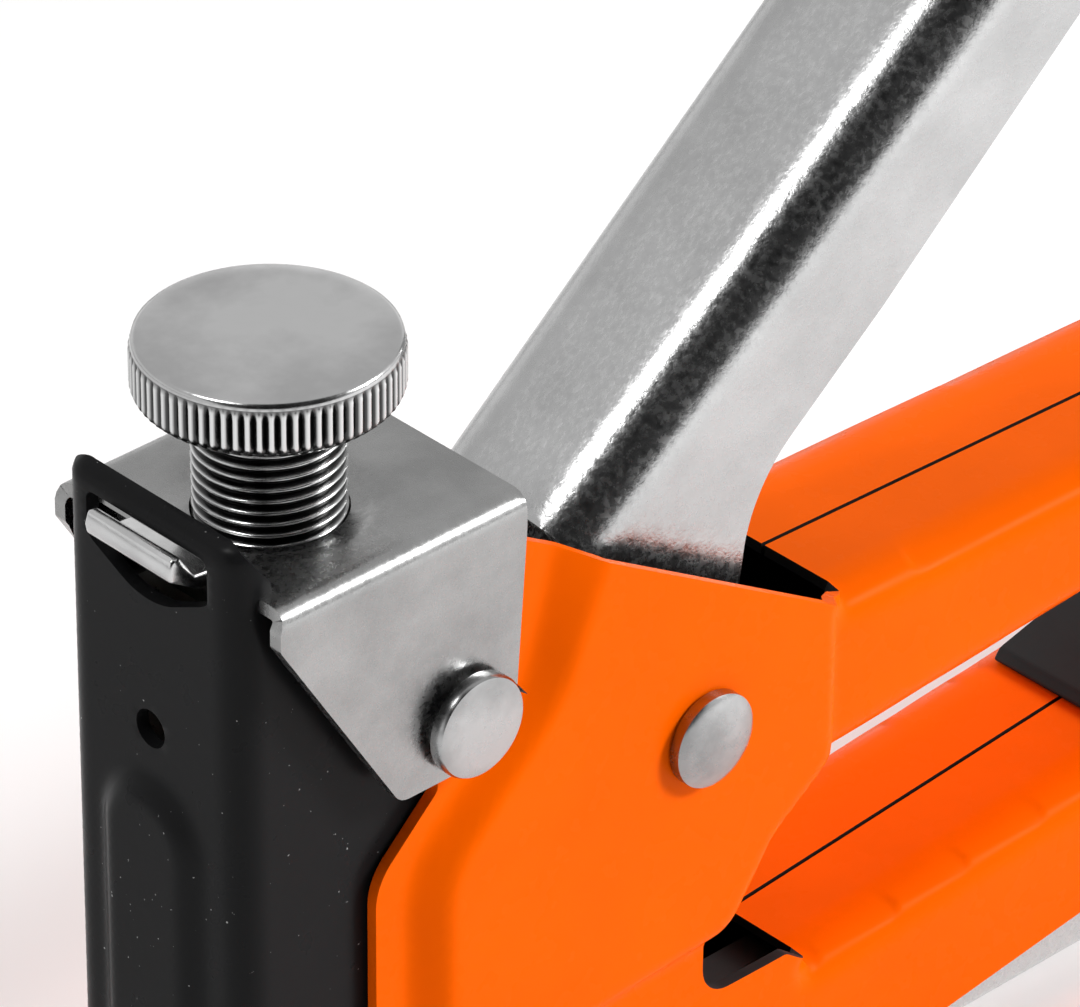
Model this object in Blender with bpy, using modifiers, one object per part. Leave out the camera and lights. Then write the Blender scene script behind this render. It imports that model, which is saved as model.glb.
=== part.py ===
"""Manual staple gun: pressed steel shells, nose plate, spring driver, squeeze lever and magazine.

The origin is on the flat base, straight below the adjuster's axis. +X points to the tool's back,
+Z up, and the tool is symmetric about Y = 0. Outlines are lists of (x, z, corner radius).
"""

import math

import bmesh
import bpy
from mathutils import Matrix, Vector

MM = 0.001
WELD = 0.001 * MM
FACING = {"X": (math.pi / 2, 0, math.pi / 2), "Y": (math.pi / 2, 0, 0), "Z": (0, 0, 0)}

# Clearances and sheet thicknesses
GAP = 0.3 * MM
PLAY = 0.25 * MM
SHELL_SHEET = 1.0 * MM
NOSE_SHEET = 1.2 * MM
CAP_SHEET = 1.2 * MM
LEVER_SHEET = 1.2 * MM

# Widths, as half-widths from the middle plane
NOSE_HALF = 10.15 * MM
RIM_HALF = NOSE_HALF + GAP + SHELL_SHEET
CAP_HALF = RIM_HALF + GAP + CAP_SHEET
BAR_HALF = 10.5 * MM
PANEL_HALF = 13.4 * MM
SHOULDER = 3.0 * MM

# Heights
CAP_TOP = 80.0 * MM
NOSE_TOP = 84.5 * MM
UPPER_BAR_TOP = 52.5 * MM
UPPER_BAR_REAR = 49.2 * MM
SEAT_LEVEL = 66.4 * MM
STRIKER_TOP = 36.0 * MM
STRIKER_BOTTOM = 31.0 * MM
BUFFER_FLOOR = 26.2 * MM
KNOB_BOTTOM = 89.6 * MM
KNOB_HEIGHT = 4.9 * MM

# Stations along the tool
NOSE_FRONT = -12.3 * MM
CAP_FRONT = -10.0 * MM
CAP_REAR = 14.6 * MM
RIM_FRONT = 0.3 * MM
BODY_REAR = 158.0 * MM
OPENING_REAR = BODY_REAR - 25.0 * MM
UPPER_BAR_FRONT = 53.2 * MM

# Pins (x, z), lever and driver
FRONT_PIN = (8.4 * MM, 62.3 * MM)
HANDLE_PIN = (33.8 * MM, 49.3 * MM)
FRONT_PIN_RADIUS = 2.5 * MM
HANDLE_PIN_RADIUS = 3.0 * MM
PIN_HEAD = 1.2 * MM
SIGHT_HOLE = (0, 64.4 * MM)
SIGHT_HOLE_RADIUS = 1.6 * MM
LEVER_FRONT = (23.0 * MM, 69.9 * MM)
LEVER_SLOPE = math.radians(38.3)
LEVER_LENGTH = 128.0 * MM
LEVER_HALF = 8.6 * MM
LEVER_END_HALF = 11.0 * MM
LEVER_SHOULDER = 5.0 * MM
ARM_LENGTH = 27.0 * MM
ARM_ANGLE = math.radians(22.0)

# Adjuster
KNOB_RADIUS = 10.5 * MM
KNURL_TEETH = 54
THREAD_RADIUS = 6.0 * MM
PILOT_RADIUS = 4.0 * MM
SPRING_RADIUS = 4.7 * MM
SPRING_WIRE = 0.9 * MM

# Driver guide
FRAME_HALF = 7.1 * MM
FRAME_SHEET = 0.8 * MM
STRIKER_HALF = FRAME_HALF - FRAME_SHEET - GAP

# Magazine
CHANNEL_HALF = 7.2 * MM
CHANNEL_SHEET = 1.0 * MM
CHANNEL_TOP = 15.8 * MM
CHANNEL_FRONT = -9.3 * MM
CHANNEL_REAR = BODY_REAR - 8.0 * MM
RAIL_HALF = 4.7 * MM
RAIL_TOP = 15.0 * MM
STAPLE_HALF = 5.65 * MM
STAPLE_WIRE = 0.65 * MM
STAPLE_LEG = 12.0 * MM
STRIP_LENGTH = 38.0 * MM
ROD_RADIUS = 1.3 * MM
ROD_HEIGHT = 8.5 * MM

ORANGE = ("orange_paint", (1.0, 0.20, 0.0), 0.32, 0.0)
BLACK_PAINT = ("black_paint", (0.012, 0.012, 0.013), 0.28, 0.0)
NICKEL = ("nickel_plate", (0.62, 0.61, 0.58), 0.32, 1.0)
CHROME = ("chrome_plate", (0.80, 0.80, 0.80), 0.16, 1.0)
BLACKED = ("blackened_steel", (0.03, 0.03, 0.03), 0.4, 0.6)
STEEL = ("bare_steel", (0.48, 0.47, 0.45), 0.38, 1.0)
ZINC = ("zinc_plate", (0.66, 0.67, 0.68), 0.35, 1.0)
BLACK_PLASTIC = ("black_plastic", (0.02, 0.02, 0.02), 0.5, 0.0)
RUBBER = ("rubber", (0.03, 0.03, 0.03), 0.8, 0.0)


def clear_scene():
    for obj in list(bpy.data.objects):
        bpy.data.objects.remove(obj, do_unlink=True)


def new_collection(name):
    collection = bpy.data.collections.new(name)
    bpy.context.scene.collection.children.link(collection)
    return collection


def material(finish):
    name, colour, roughness, metallic = finish
    found = bpy.data.materials.get(name)
    if found:
        return found
    made = bpy.data.materials.new(name)
    made.use_nodes = True
    shader = made.node_tree.nodes["Principled BSDF"]
    shader.inputs["Base Color"].default_value = (*colour, 1.0)
    shader.inputs["Roughness"].default_value = roughness
    shader.inputs["Metallic"].default_value = metallic
    return made


def add_object(name, mesh):
    obj = bpy.data.objects.new(name, mesh)
    CUTTERS.objects.link(obj)
    obj.hide_render = True
    obj.display_type = "WIRE"
    return obj


def as_part(obj, finish):
    """Moves a finished shape to the tool's collection and gives it its finish."""
    CUTTERS.objects.unlink(obj)
    TOOL.objects.link(obj)
    obj.hide_render = False
    obj.display_type = "TEXTURED"
    obj.data.materials.clear()
    obj.data.materials.append(material(finish))
    obj.data.shade_smooth()
    obj.data.set_sharp_from_angle(angle=math.radians(32))
    return obj


def pivot(name, origin, *children):
    """An empty on a joint's axis, with the pieces that turn or slide there."""
    empty = bpy.data.objects.new(name, None)
    TOOL.objects.link(empty)
    empty.location = origin
    for child in children:
        child.parent = empty
        child.matrix_parent_inverse = Matrix.Translation(-Vector(origin))
    return empty


def corner_arc(before, corner, after, radius, segments):
    """Points of the arc that rounds one corner of an outline."""
    point = Vector(corner)
    back = (Vector(before) - point).normalized()
    ahead = (Vector(after) - point).normalized()
    half = back.angle(ahead) / 2
    reach = radius / math.tan(half)
    centre = point + (back + ahead).normalized() * radius / math.sin(half)
    start = point + back * reach - centre
    turn = math.pi - 2 * half
    if back.x * ahead.y - back.y * ahead.x > 0:
        turn = -turn
    steps = [turn * i / segments for i in range(segments + 1)]
    return [
        (
            centre.x + start.x * math.cos(a) - start.y * math.sin(a),
            centre.y + start.x * math.sin(a) + start.y * math.cos(a),
        )
        for a in steps
    ]


def outline(corners, segments=3):
    """Closed outline through (u, v, radius) corners given in millimetres."""
    points = []
    count = len(corners)
    for i, (u, v, radius) in enumerate(corners):
        before = [c * MM for c in corners[i - 1][:2]]
        after = [c * MM for c in corners[(i + 1) % count][:2]]
        corner = (u * MM, v * MM)
        if radius:
            points += corner_arc(before, corner, after, radius * MM, segments)
        else:
            points.append(corner)
    return points


def circle(u, v, radius, count=32):
    angles = [2 * math.pi * i / count for i in range(count)]
    return [(u + radius * math.cos(a), v + radius * math.sin(a)) for a in angles]


def grown(points, distance):
    """The outline moved outward by a distance, each point along its own miter."""
    area = sum(
        a[0] * b[1] - b[0] * a[1] for a, b in zip(points, points[1:] + points[:1])
    )
    sign = 1 if area > 0 else -1
    moved = []
    for i, point in enumerate(points):
        here = Vector(point)
        back = (here - Vector(points[i - 1])).normalized()
        ahead = (Vector(points[(i + 1) % len(points)]) - here).normalized()
        normal_back = Vector((back.y, -back.x)) * sign
        normal_ahead = Vector((ahead.y, -ahead.x)) * sign
        miter = normal_back + normal_ahead
        miter = miter / max(miter.dot(normal_back), 0.35)
        moved.append(tuple(here + miter * distance))
    return moved


def lofted(name, rings, normal="Y"):
    """A closed solid through rings of (outline, level), all with the same number of points."""
    mesh = bmesh.new()
    place = {"X": lambda u, v, w: (w, u, v), "Y": lambda u, v, w: (u, w, v)}
    place["Z"] = lambda u, v, w: (u, v, w)
    loops = [
        [mesh.verts.new(place[normal](u, v, level)) for u, v in points]
        for points, level in rings
    ]
    count = len(loops[0])
    for low, high in zip(loops, loops[1:]):
        for i in range(count):
            j = (i + 1) % count
            mesh.faces.new((low[i], low[j], high[j], high[i]))
    mesh.faces.new(loops[0])
    mesh.faces.new(loops[-1])
    bmesh.ops.recalc_face_normals(mesh, faces=mesh.faces)
    data = bpy.data.meshes.new(name)
    mesh.to_mesh(data)
    mesh.free()
    return add_object(name, data)


def as_mesh(obj):
    """Turns a curve object into a mesh object with its caps welded on."""
    bpy.context.view_layer.update()
    graph = bpy.context.evaluated_depsgraph_get()
    data = bpy.data.meshes.new_from_object(obj.evaluated_get(graph))
    mesh = bmesh.new()
    mesh.from_mesh(data)
    bmesh.ops.remove_doubles(mesh, verts=mesh.verts, dist=WELD)
    bmesh.ops.transform(mesh, matrix=obj.matrix_world, verts=mesh.verts)
    bmesh.ops.recalc_face_normals(mesh, faces=mesh.faces)
    mesh.to_mesh(data)
    mesh.free()
    name = obj.name
    bpy.data.objects.remove(obj, do_unlink=True)
    return add_object(name, data)


def slab(name, points, low, high, normal="Y"):
    """A flat plate: the outline from one level to another along the normal."""
    curve = bpy.data.curves.new(name, "CURVE")
    curve.dimensions = "2D"
    curve.fill_mode = "BOTH"
    curve.extrude = abs(high - low) / 2
    spline = curve.splines.new("POLY")
    spline.points.add(len(points) - 1)
    for target, (u, v) in zip(spline.points, points):
        target.co = (u, v, 0, 1)
    spline.use_cyclic_u = True
    plate = add_object(name, curve)
    plate.rotation_euler = FACING[normal]
    plate.location["XYZ".index(normal)] = (low + high) / 2
    return as_mesh(plate)


def rod(name, place, radius, low, high, axis="Y", segments=20):
    """A round bar at a place across its axis, from one level to another along it."""
    mesh = bmesh.new()
    bmesh.ops.create_cone(
        mesh,
        cap_ends=True,
        segments=segments,
        radius1=radius,
        radius2=radius,
        depth=abs(high - low),
    )
    data = bpy.data.meshes.new(name)
    mesh.to_mesh(data)
    mesh.free()
    bar = add_object(name, data)
    middle = (low + high) / 2
    u, v = place
    bar.location = {"X": (middle, u, v), "Y": (u, middle, v), "Z": (u, v, middle)}[axis]
    bar.rotation_euler = FACING[axis]
    return bar


def box(name, low, high):
    """A box between two corners given in millimetres."""
    size = [(b - a) * MM for a, b in zip(low, high)]
    centre = [(a + b) / 2 * MM for a, b in zip(low, high)]
    mesh = bmesh.new()
    bmesh.ops.create_cube(mesh, size=1.0)
    bmesh.ops.scale(mesh, vec=size, verts=mesh.verts)
    bmesh.ops.translate(mesh, vec=centre, verts=mesh.verts)
    data = bpy.data.meshes.new(name)
    mesh.to_mesh(data)
    mesh.free()
    return add_object(name, data)


def turned(name, profile, centre, axis="Z", steps=24):
    """A solid turned about an axis from (radius, height) pairs, top first, both ends on the axis."""
    mesh = bmesh.new()
    verts = [mesh.verts.new((radius, 0, height)) for radius, height in profile]
    for a, b in zip(verts, verts[1:]):
        mesh.edges.new((a, b))
    data = bpy.data.meshes.new(name)
    mesh.to_mesh(data)
    mesh.free()
    obj = add_object(name, data)
    screw = obj.modifiers.new("turn", "SCREW")
    screw.steps = steps
    screw.render_steps = steps
    screw.use_merge_vertices = True
    screw.merge_threshold = 0.00001
    obj.location = centre
    if axis == "Y":
        obj.rotation_euler = (math.pi / 2, 0, 0)
    if axis == "X":
        obj.rotation_euler = (0, math.pi / 2, 0)
    return obj


def wire(name, points, radius, resolution=2):
    """Round wire along a line of points, with filled ends."""
    curve = bpy.data.curves.new(name, "CURVE")
    curve.dimensions = "3D"
    curve.bevel_depth = radius
    curve.bevel_resolution = resolution
    curve.use_fill_caps = True
    spline = curve.splines.new("POLY")
    spline.points.add(len(points) - 1)
    for target, point in zip(spline.points, points):
        target.co = (*point, 1.0)
    return as_mesh(add_object(name, curve))


def helix(centre, radius, start, end, turns, axis="Z", per_turn=10, closed_end=0.75):
    """Points of a compression coil whose first and last turns lie nearly flat."""
    points = []
    total = int(turns * per_turn)
    for i in range(total + 1):
        turn = i / per_turn
        free = (turn - closed_end) / (turns - 2 * closed_end)
        height = start + (end - start) * min(max(free, 0.0), 1.0)
        angle = 2 * math.pi * turn
        across = (radius * math.cos(angle), radius * math.sin(angle))
        if axis == "Z":
            points.append((centre[0] + across[0], centre[1] + across[1], height))
        elif axis == "X":
            points.append((height, centre[0] + across[0], centre[1] + across[1]))
        else:
            points.append((centre[0] + across[0], height, centre[1] + across[1]))
    return points


def boolean(target, tools, operation):
    for tool in tools:
        modifier = target.modifiers.new(tool.name, "BOOLEAN")
        modifier.operation = operation
        modifier.solver = "EXACT"
        modifier.object = tool
    return target


def cut(target, *tools):
    return boolean(target, tools, "DIFFERENCE")


def fuse(target, *tools):
    return boolean(target, tools, "UNION")


def hole(name, place, radius):
    """A round cutter across the whole tool, at an (x, z) place."""
    return rod(name, place, radius, -20 * MM, 20 * MM)


# Side view outlines of the shells. Blocks that are joined or cut overlap by LAP, so no faces coincide.
LAP = 0.05 * MM
BARS = [
    (24, UPPER_BAR_TOP / MM, 0),
    (UPPER_BAR_FRONT / MM, UPPER_BAR_TOP / MM, 0),
    (BODY_REAR / MM, UPPER_BAR_REAR / MM, 9),
    (BODY_REAR / MM, -12, 0),
    (24, -12, 0),
]
FINGER_OPENING = [
    (51.6, 37.3, 1.5),
    (44.6, 33.4, 8),
    (38.6, 26.0, 8),
    (38.6, 16.1, 3),
    (OPENING_REAR / MM, 24.0, 9),
    (OPENING_REAR / MM, 42.6, 7),
]
COLUMN = [(-8, -12, 0), (-8, 90, 0), (53.4, 90, 0), (53.4, -12, 0)]
COLUMN_INSIDE = [(-9, -14, 0), (-9, 95, 0), (53.1, 95, 0), (53.1, 51.2, 0), (58, 51.2, 0), (58, -14, 0)]
RIM = [(-7, -12, 0), (-7, 90, 0), (22.4, 90, 0), (22.4, -12, 0)]
RIM_INSIDE = [(-9, -14, 0), (-9, 95, 0), (21.4, 95, 0), (21.4, -14, 0)]
FRONT_EDGE = [
    (-30, -20, 0),
    (RIM_FRONT / MM, -20, 0),
    (RIM_FRONT / MM, 49.6, 5),
    (7.4, 56.2, 1),
    (3.6, 58.6, 1),
    (3.6, 68.2, 4),
    (13.0, 76.3, 1),
    (51.8, 53.0, 0.8),
    (53.6, 52.8, 0),
    (53.6, 110, 0),
    (-30, 110, 0),
]
PANEL_TOP = [
    (6.8, 27.4, 3),
    (6.8, 48.2, 7),
    (18.6, 59.8, 12),
    (23.8, 72.0, 2),
    (23.8, 90, 0),
    (48.0, 90, 0),
    (48.0, 40.6, 2.5),
    (41.6, 36.2, 8),
    (36.8, 29.4, 3),
]
PANEL_BASE = [
    (2.8, 24.0, 5),
    (2.8, 49.6, 9),
    (14.8, 61.4, 12),
    (20.6, 74.2, 3),
    (20.6, 90, 0),
    (51.4, 90, 0),
    (51.4, 38.6, 4),
    (44.2, 33.2, 9),
    (39.6, 25.8, 5),
]
PAST_REAR = BODY_REAR / MM + 17
LOWER_EDGE = [
    (-20, 2.2, 0),
    (44, 2.2, 30),
    (84, 7.2, 30),
    (PAST_REAR, 9.5, 0),
    (PAST_REAR, -30, 0),
    (-20, -30, 0),
]
RELIEF_LOBE = [(36.8, 20.4, 3), (36.8, 27.5, 3), (42.0, 31.5, 1), (46.2, 31.5, 0), (46.2, 20.1, 1)]


def shoulder_steps(radius):
    """Inward shift and height of each ring around a rounded shoulder."""
    turns = [math.radians(angle) for angle in (0, 30, 60, 90)]
    return [(radius * (1 - math.cos(turn)), radius * (math.sin(turn) - 1)) for turn in turns]


def pressed_block(name, corners, half_width, inset, side):
    """The volume inside a pressing: flat side, rounded shoulder, and flanges that run past Y = 0."""
    points = grown(outline(corners), -inset)
    width = half_width - inset
    rings = [(points, (-4 * MM - inset) * side)]
    for shift, level in shoulder_steps(SHOULDER - inset):
        rings.append((grown(points, -shift), (width + level) * side))
    return lofted(name, rings)


def opening_block(name, inset, side):
    """The finger opening's cutter, flared so that the rim around it is a rounded shoulder."""
    points = grown(outline(FINGER_OPENING), inset)
    width = BAR_HALF - inset
    rings = [(points, (-6 * MM - inset) * side)]
    for shift, level in shoulder_steps(SHOULDER - inset):
        rings.append((grown(points, shift), (width + level) * side))
    wide = grown(rings[-1][0], 2.4 * MM)
    rings.append((wide, (width + 2.4 * MM) * side))
    rings.append((wide, (width + 8 * MM) * side))
    return lofted(name, rings)


def bulge_block(name, inset, side):
    """The wide middle panel's volume: a flat top that ramps down on all sides."""
    top = grown(outline(PANEL_TOP), -inset * 0.5)
    base = grown(outline(PANEL_BASE), -inset * 0.5)
    foot = BAR_HALF - inset - 2 * LAP
    rings = [(base, 5 * MM * side), (base, foot * side), (top, (PANEL_HALF - inset) * side)]
    return lofted(name, rings)


def shell_volume(name, inset, side):
    """The shell's outer volume, or its inside when inset by the sheet's thickness."""
    column, rim = (COLUMN_INSIDE, RIM_INSIDE) if inset else (COLUMN, RIM)
    step = LAP if inset else -LAP
    start = (3 * MM if inset else -5 * MM) * -side
    body = pressed_block(name, BARS, BAR_HALF, inset, side)
    if not inset:
        cut(body, box(name + "_open_front", (0, -20, 49.4), (UPPER_BAR_FRONT / MM, 20, 60)))
    level = (BAR_HALF - inset + step) * side
    fuse(body, slab(name + "_column", outline(column), start, level))
    level = (RIM_HALF - inset) * side
    fuse(body, slab(name + "_rim", outline(rim), start + LAP * side, level))
    fuse(body, bulge_block(name + "_bulge", inset, side))
    cut(body, opening_block(name + "_opening", inset, side))
    return body


def shell(name, side):
    """One pressed half of the body. side is -1 for the left half and +1 for the right."""
    half = shell_volume(name, 0, side)
    cut(half, shell_volume(name + "_inside", SHELL_SHEET, side))
    other_half = box(name + "_other", (-40, -30, -40), (PAST_REAR, 0, 130))
    other_half.location.y = GAP / 2 if side > 0 else 30 * MM - GAP / 2
    cut(half, other_half)
    edges = {"front_edge": FRONT_EDGE, "lower_edge": LOWER_EDGE, "relief_lobe": RELIEF_LOBE}
    for label, corners in edges.items():
        cut(half, slab(f"{name}_{label}", outline(corners), -20 * MM, 20 * MM))
    cut(half, box(name + "_relief", (30, -9, 10), (50.2, 9, 22)))
    rear = BODY_REAR / MM
    cut(half, box(name + "_magazine_door", (rear - 18, -9.2, -10), (PAST_REAR, 9.2, 17.9)))
    cut(half, box(name + "_latch_door", (rear - 5, -4.5, 15), (PAST_REAR, 4.5, 27.5)))
    holes = [(FRONT_PIN, FRONT_PIN_RADIUS), (HANDLE_PIN, HANDLE_PIN_RADIUS)]
    holes += [(place, RIVET_RADIUS) for place in RIVETS.values()]
    holes.append((LATCH_PIVOT, LATCH_PIN_RADIUS))
    for i, (place, radius) in enumerate(holes):
        cut(half, hole(f"{name}_hole_{i}", place, radius + PLAY))
    return as_part(half, ORANGE)


RIVET_RADIUS = 1.8 * MM
RIVETS = {
    "middle_rivet": (118.0 * MM, 19.4 * MM),
    "rear_rivet": (BODY_REAR - 11.5 * MM, 33.0 * MM),
}
LATCH_PIVOT = (BODY_REAR - 8.0 * MM, 23.0 * MM)
LATCH_PIN_RADIUS = 1.2 * MM


def nose_section(inset):
    """Plan outline of the nose channel, open to the back, at an inset from its outer face."""
    half = (NOSE_HALF - inset) / MM
    front = (NOSE_FRONT + inset) / MM
    radius = 2.6 - inset / MM
    return outline([(front, -half, radius), (30, -half, 0), (30, half, 0), (front, half, radius)])


def nose_plate():
    """The black channel at the front: front wall, two flanks, rolled top lip, slot, hole and rib."""
    section = nose_section(0)
    lip = 1.4 * MM
    rings = [(section, GAP), (section, NOSE_TOP - lip)]
    for angle in (30, 60, 90):
        turn = math.radians(angle)
        shift = lip * (1 - math.cos(turn))
        rings.append((grown(section, -shift), NOSE_TOP - lip + lip * math.sin(turn)))
    plate = lofted("nose_plate", rings, "Z")
    rib_base = outline([(-5.4, 4, 2), (5.4, 4, 2), (5.4, 59.5, 4.5), (-5.4, 59.5, 4.5)])
    rib_top = grown(rib_base, -1.7 * MM)
    rib = lofted(
        "nose_rib",
        [(rib_base, NOSE_FRONT + 0.3 * MM), (rib_base, NOSE_FRONT), (rib_top, NOSE_FRONT - 0.9 * MM)],
        "X",
    )
    fuse(plate, rib)
    inside = nose_section(NOSE_SHEET)
    cut(plate, slab("nose_inside", inside, -5 * MM, NOSE_TOP - NOSE_SHEET, "Z"))
    cut(plate, box("nose_lip_end", (CAP_FRONT / MM - 0.3, -20, 78.4), (40, 20, 100)))
    flank = outline(
        [(5, -5, 0), (5, 52, 2), (13, 57, 2), (13, 69, 3), (8, 73, 0), (8, 82, 0), (60, 82, 0),
         (60, -5, 0)]
    )
    cut(plate, slab("nose_flank_end", flank, -20 * MM, 20 * MM))
    slot = outline(
        [(-6.9, 82.7, 0.8), (6.9, 82.7, 0.8), (6.9, 78.6, 2.5), (0, 75.2, 12), (-6.9, 78.6, 2.5)]
    )
    before = NOSE_FRONT - 3 * MM
    behind = NOSE_FRONT + 2 * MM
    cut(plate, slab("nose_slot", slot, before, behind, "X"))
    cut(plate, rod("nose_hole", SIGHT_HOLE, SIGHT_HOLE_RADIUS, before, behind, "X"))
    cut(plate, hole("nose_pin_hole", FRONT_PIN, FRONT_PIN_RADIUS + PLAY))
    return as_part(plate, BLACK_PAINT)


def top_cap():
    """The plated cap: a sheet folded down over both sides, with a locking tongue at the front."""
    half = CAP_HALF / MM
    fold = outline([(-half, 50, 0), (-half, 80, 1.5), (half, 80, 1.5), (half, 50, 0)])
    cap = slab("top_cap", fold, CAP_FRONT, CAP_REAR, "X")
    inner = half - CAP_SHEET / MM
    inside = outline([(-inner, 40, 0), (-inner, 78.8, 0.4), (inner, 78.8, 0.4), (inner, 40, 0)])
    cut(cap, slab("cap_inside", inside, CAP_FRONT - 5 * MM, CAP_REAR + 5 * MM, "X"))
    flank = outline(
        [(-12, 40, 0), (-12, 76.7, 0), (-10.0, 76.7, 0), (1.4, 57.7, 1.4), (13.9, 57.7, 4.5),
         (14.6, 74, 0), (20, 74, 0), (20, 40, 0)]
    )
    cut(cap, slab("cap_flank_end", flank, -20 * MM, 20 * MM))
    tongue = outline([(-9.2, 78.8, 0), (-9.2, 80.0, 0), (-10.6, 80.0, 1), (-14.1, 82.4, 0.4),
                      (-14.1, 81.0, 0.3), (-10.9, 78.8, 1)])
    fuse(cap, slab("cap_tongue", tongue, -4.9 * MM, 4.9 * MM))
    bore = THREAD_RADIUS + PLAY
    dish = turned(
        "cap_dish",
        [(0, 1 * MM), (bore + 2.15 * MM, 1 * MM), (bore + 2.15 * MM, 0), (bore + 0.65 * MM, -0.7 * MM),
         (bore + 0.05 * MM, -0.8 * MM), (bore, -0.8 * MM), (bore, -4 * MM), (0, -4 * MM)],
        (0, 0, CAP_TOP + 0.01 * MM),
    )
    cut(cap, dish)
    cut(cap, hole("cap_pin_hole", FRONT_PIN, FRONT_PIN_RADIUS + PLAY))
    return as_part(cap, NICKEL)


def adjuster_nut():
    block = box("adjuster_nut", (-8.2, -8.2, 74.0), (6.0, 8.2, 78.5))
    block.data.transform(Matrix.Translation((0.6 * MM, 0, 0)))
    cut(block, rod("nut_bore", (0, 0), THREAD_RADIUS + PLAY, 70 * MM, 82 * MM, "Z"))
    return as_part(block, STEEL)


def adjuster_knob():
    """Knurled head, screw and plain pilot in one turned piece."""
    teeth = []
    for i in range(KNURL_TEETH * 2):
        radius = KNOB_RADIUS if i % 2 == 0 else KNOB_RADIUS - 0.4 * MM
        angle = math.pi * i / KNURL_TEETH
        teeth.append((radius * math.cos(angle), radius * math.sin(angle)))
    edge = circle(0, 0, KNOB_RADIUS - 0.5 * MM, KNURL_TEETH * 2)
    crown = circle(0, 0, KNOB_RADIUS - 1.6 * MM, KNURL_TEETH * 2)
    top = KNOB_BOTTOM + KNOB_HEIGHT
    rings = [
        (edge, KNOB_BOTTOM),
        (teeth, KNOB_BOTTOM + 0.5 * MM),
        (teeth, top - 0.9 * MM),
        (edge, top - 0.4 * MM),
        (crown, top),
    ]
    knob = lofted("adjuster_knob", rings, "Z")
    screw = THREAD_RADIUS
    stem = turned(
        "knob_stem",
        [(0, 1 * MM), (screw, 1 * MM), (screw, -13.6 * MM), (screw - 0.5 * MM, -14.1 * MM),
         (PILOT_RADIUS, -14.1 * MM), (PILOT_RADIUS, -20.8 * MM), (PILOT_RADIUS - 0.5 * MM, -21.3 * MM),
         (0, -21.3 * MM)],
        (0, 0, KNOB_BOTTOM),
    )
    fuse(knob, stem)
    return as_part(knob, NICKEL)


def spring_seat():
    seat = turned(
        "spring_seat",
        [(0, 1.6 * MM), (5.5 * MM, 1.6 * MM), (5.5 * MM, 0), (3.3 * MM, 0), (3.3 * MM, -2.6 * MM),
         (2.6 * MM, -3.2 * MM), (0, -3.2 * MM)],
        (0, 0, SEAT_LEVEL),
    )
    return as_part(seat, STEEL)


def main_spring():
    low = STRIKER_TOP + GAP + SPRING_WIRE
    high = SEAT_LEVEL - GAP - SPRING_WIRE
    points = helix((0, 0), SPRING_RADIUS, low, high, 7.5)
    return as_part(wire("main_spring", points, SPRING_WIRE), STEEL)


def striker_block():
    half = STRIKER_HALF / MM
    top = STRIKER_TOP / MM
    block = box("striker_block", (-9.4, -half, STRIKER_BOTTOM / MM), (7.0, half, top))
    fuse(block, box("striker_tenon", (-10.8, -2.2, 32.2), (-8, 2.2, 34.8)))
    well = [(0, 1 * MM), (3.2 * MM, 1 * MM), (3.2 * MM, -3 * MM), (0, -3 * MM)]
    cut(block, turned("striker_well", well, (0, 0, STRIKER_TOP)))
    return as_part(block, STEEL)


def driver_blade():
    """The flat blade behind the nose plate that drives one staple at a time."""
    half = STRIKER_HALF / MM
    blade = slab(
        "driver_blade",
        outline([(-half, 0.6, 0.3), (half, 0.6, 0.3), (half, 38, 1), (-half, 38, 1)], 2),
        -10.7 * MM,
        -9.8 * MM,
        "X",
    )
    cut(blade, box("blade_window", (-12, -2.5, 31.9), (-8, 2.5, 35.1)))
    return as_part(blade, STEEL)


def inner_frame():
    """The guide between nose and lever: two walls, a floor for the bumper and a rear bridge."""
    walls = outline(
        [(-9.2, 17, 0), (5.3, 17, 1), (5.3, 58.8, 1), (12.4, 59, 1), (12.4, 70, 2), (8.5, 73.4, 1),
         (-9.2, 73.4, 0)]
    )
    inside = (FRAME_HALF - FRAME_SHEET) / MM
    frame = slab("inner_frame", walls, -FRAME_HALF, FRAME_HALF)
    cut(frame, box("frame_inside_upper", (-20, -inside, BUFFER_FLOOR / MM), (20, inside, 80)))
    cut(frame, box("frame_inside_lower", (-20, -inside, 0), (20, inside, 25)))
    fuse(frame, box("frame_bridge", (7.0, -6.8, 68.2), (8.0, 6.8, 72.4)))
    cut(frame, hole("frame_pin_hole", FRONT_PIN, FRONT_PIN_RADIUS + PLAY))
    return as_part(frame, STEEL)


def bumper():
    half = STRIKER_HALF / MM
    pad = slab(
        "striker_bumper",
        outline([(-8.9, -half, 1.5), (3.4, -half, 1.5), (3.4, half, 1.5), (-8.9, half, 1.5)]),
        BUFFER_FLOOR + GAP,
        STRIKER_BOTTOM - GAP,
        "Z",
    )
    return as_part(pad, RUBBER)


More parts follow.
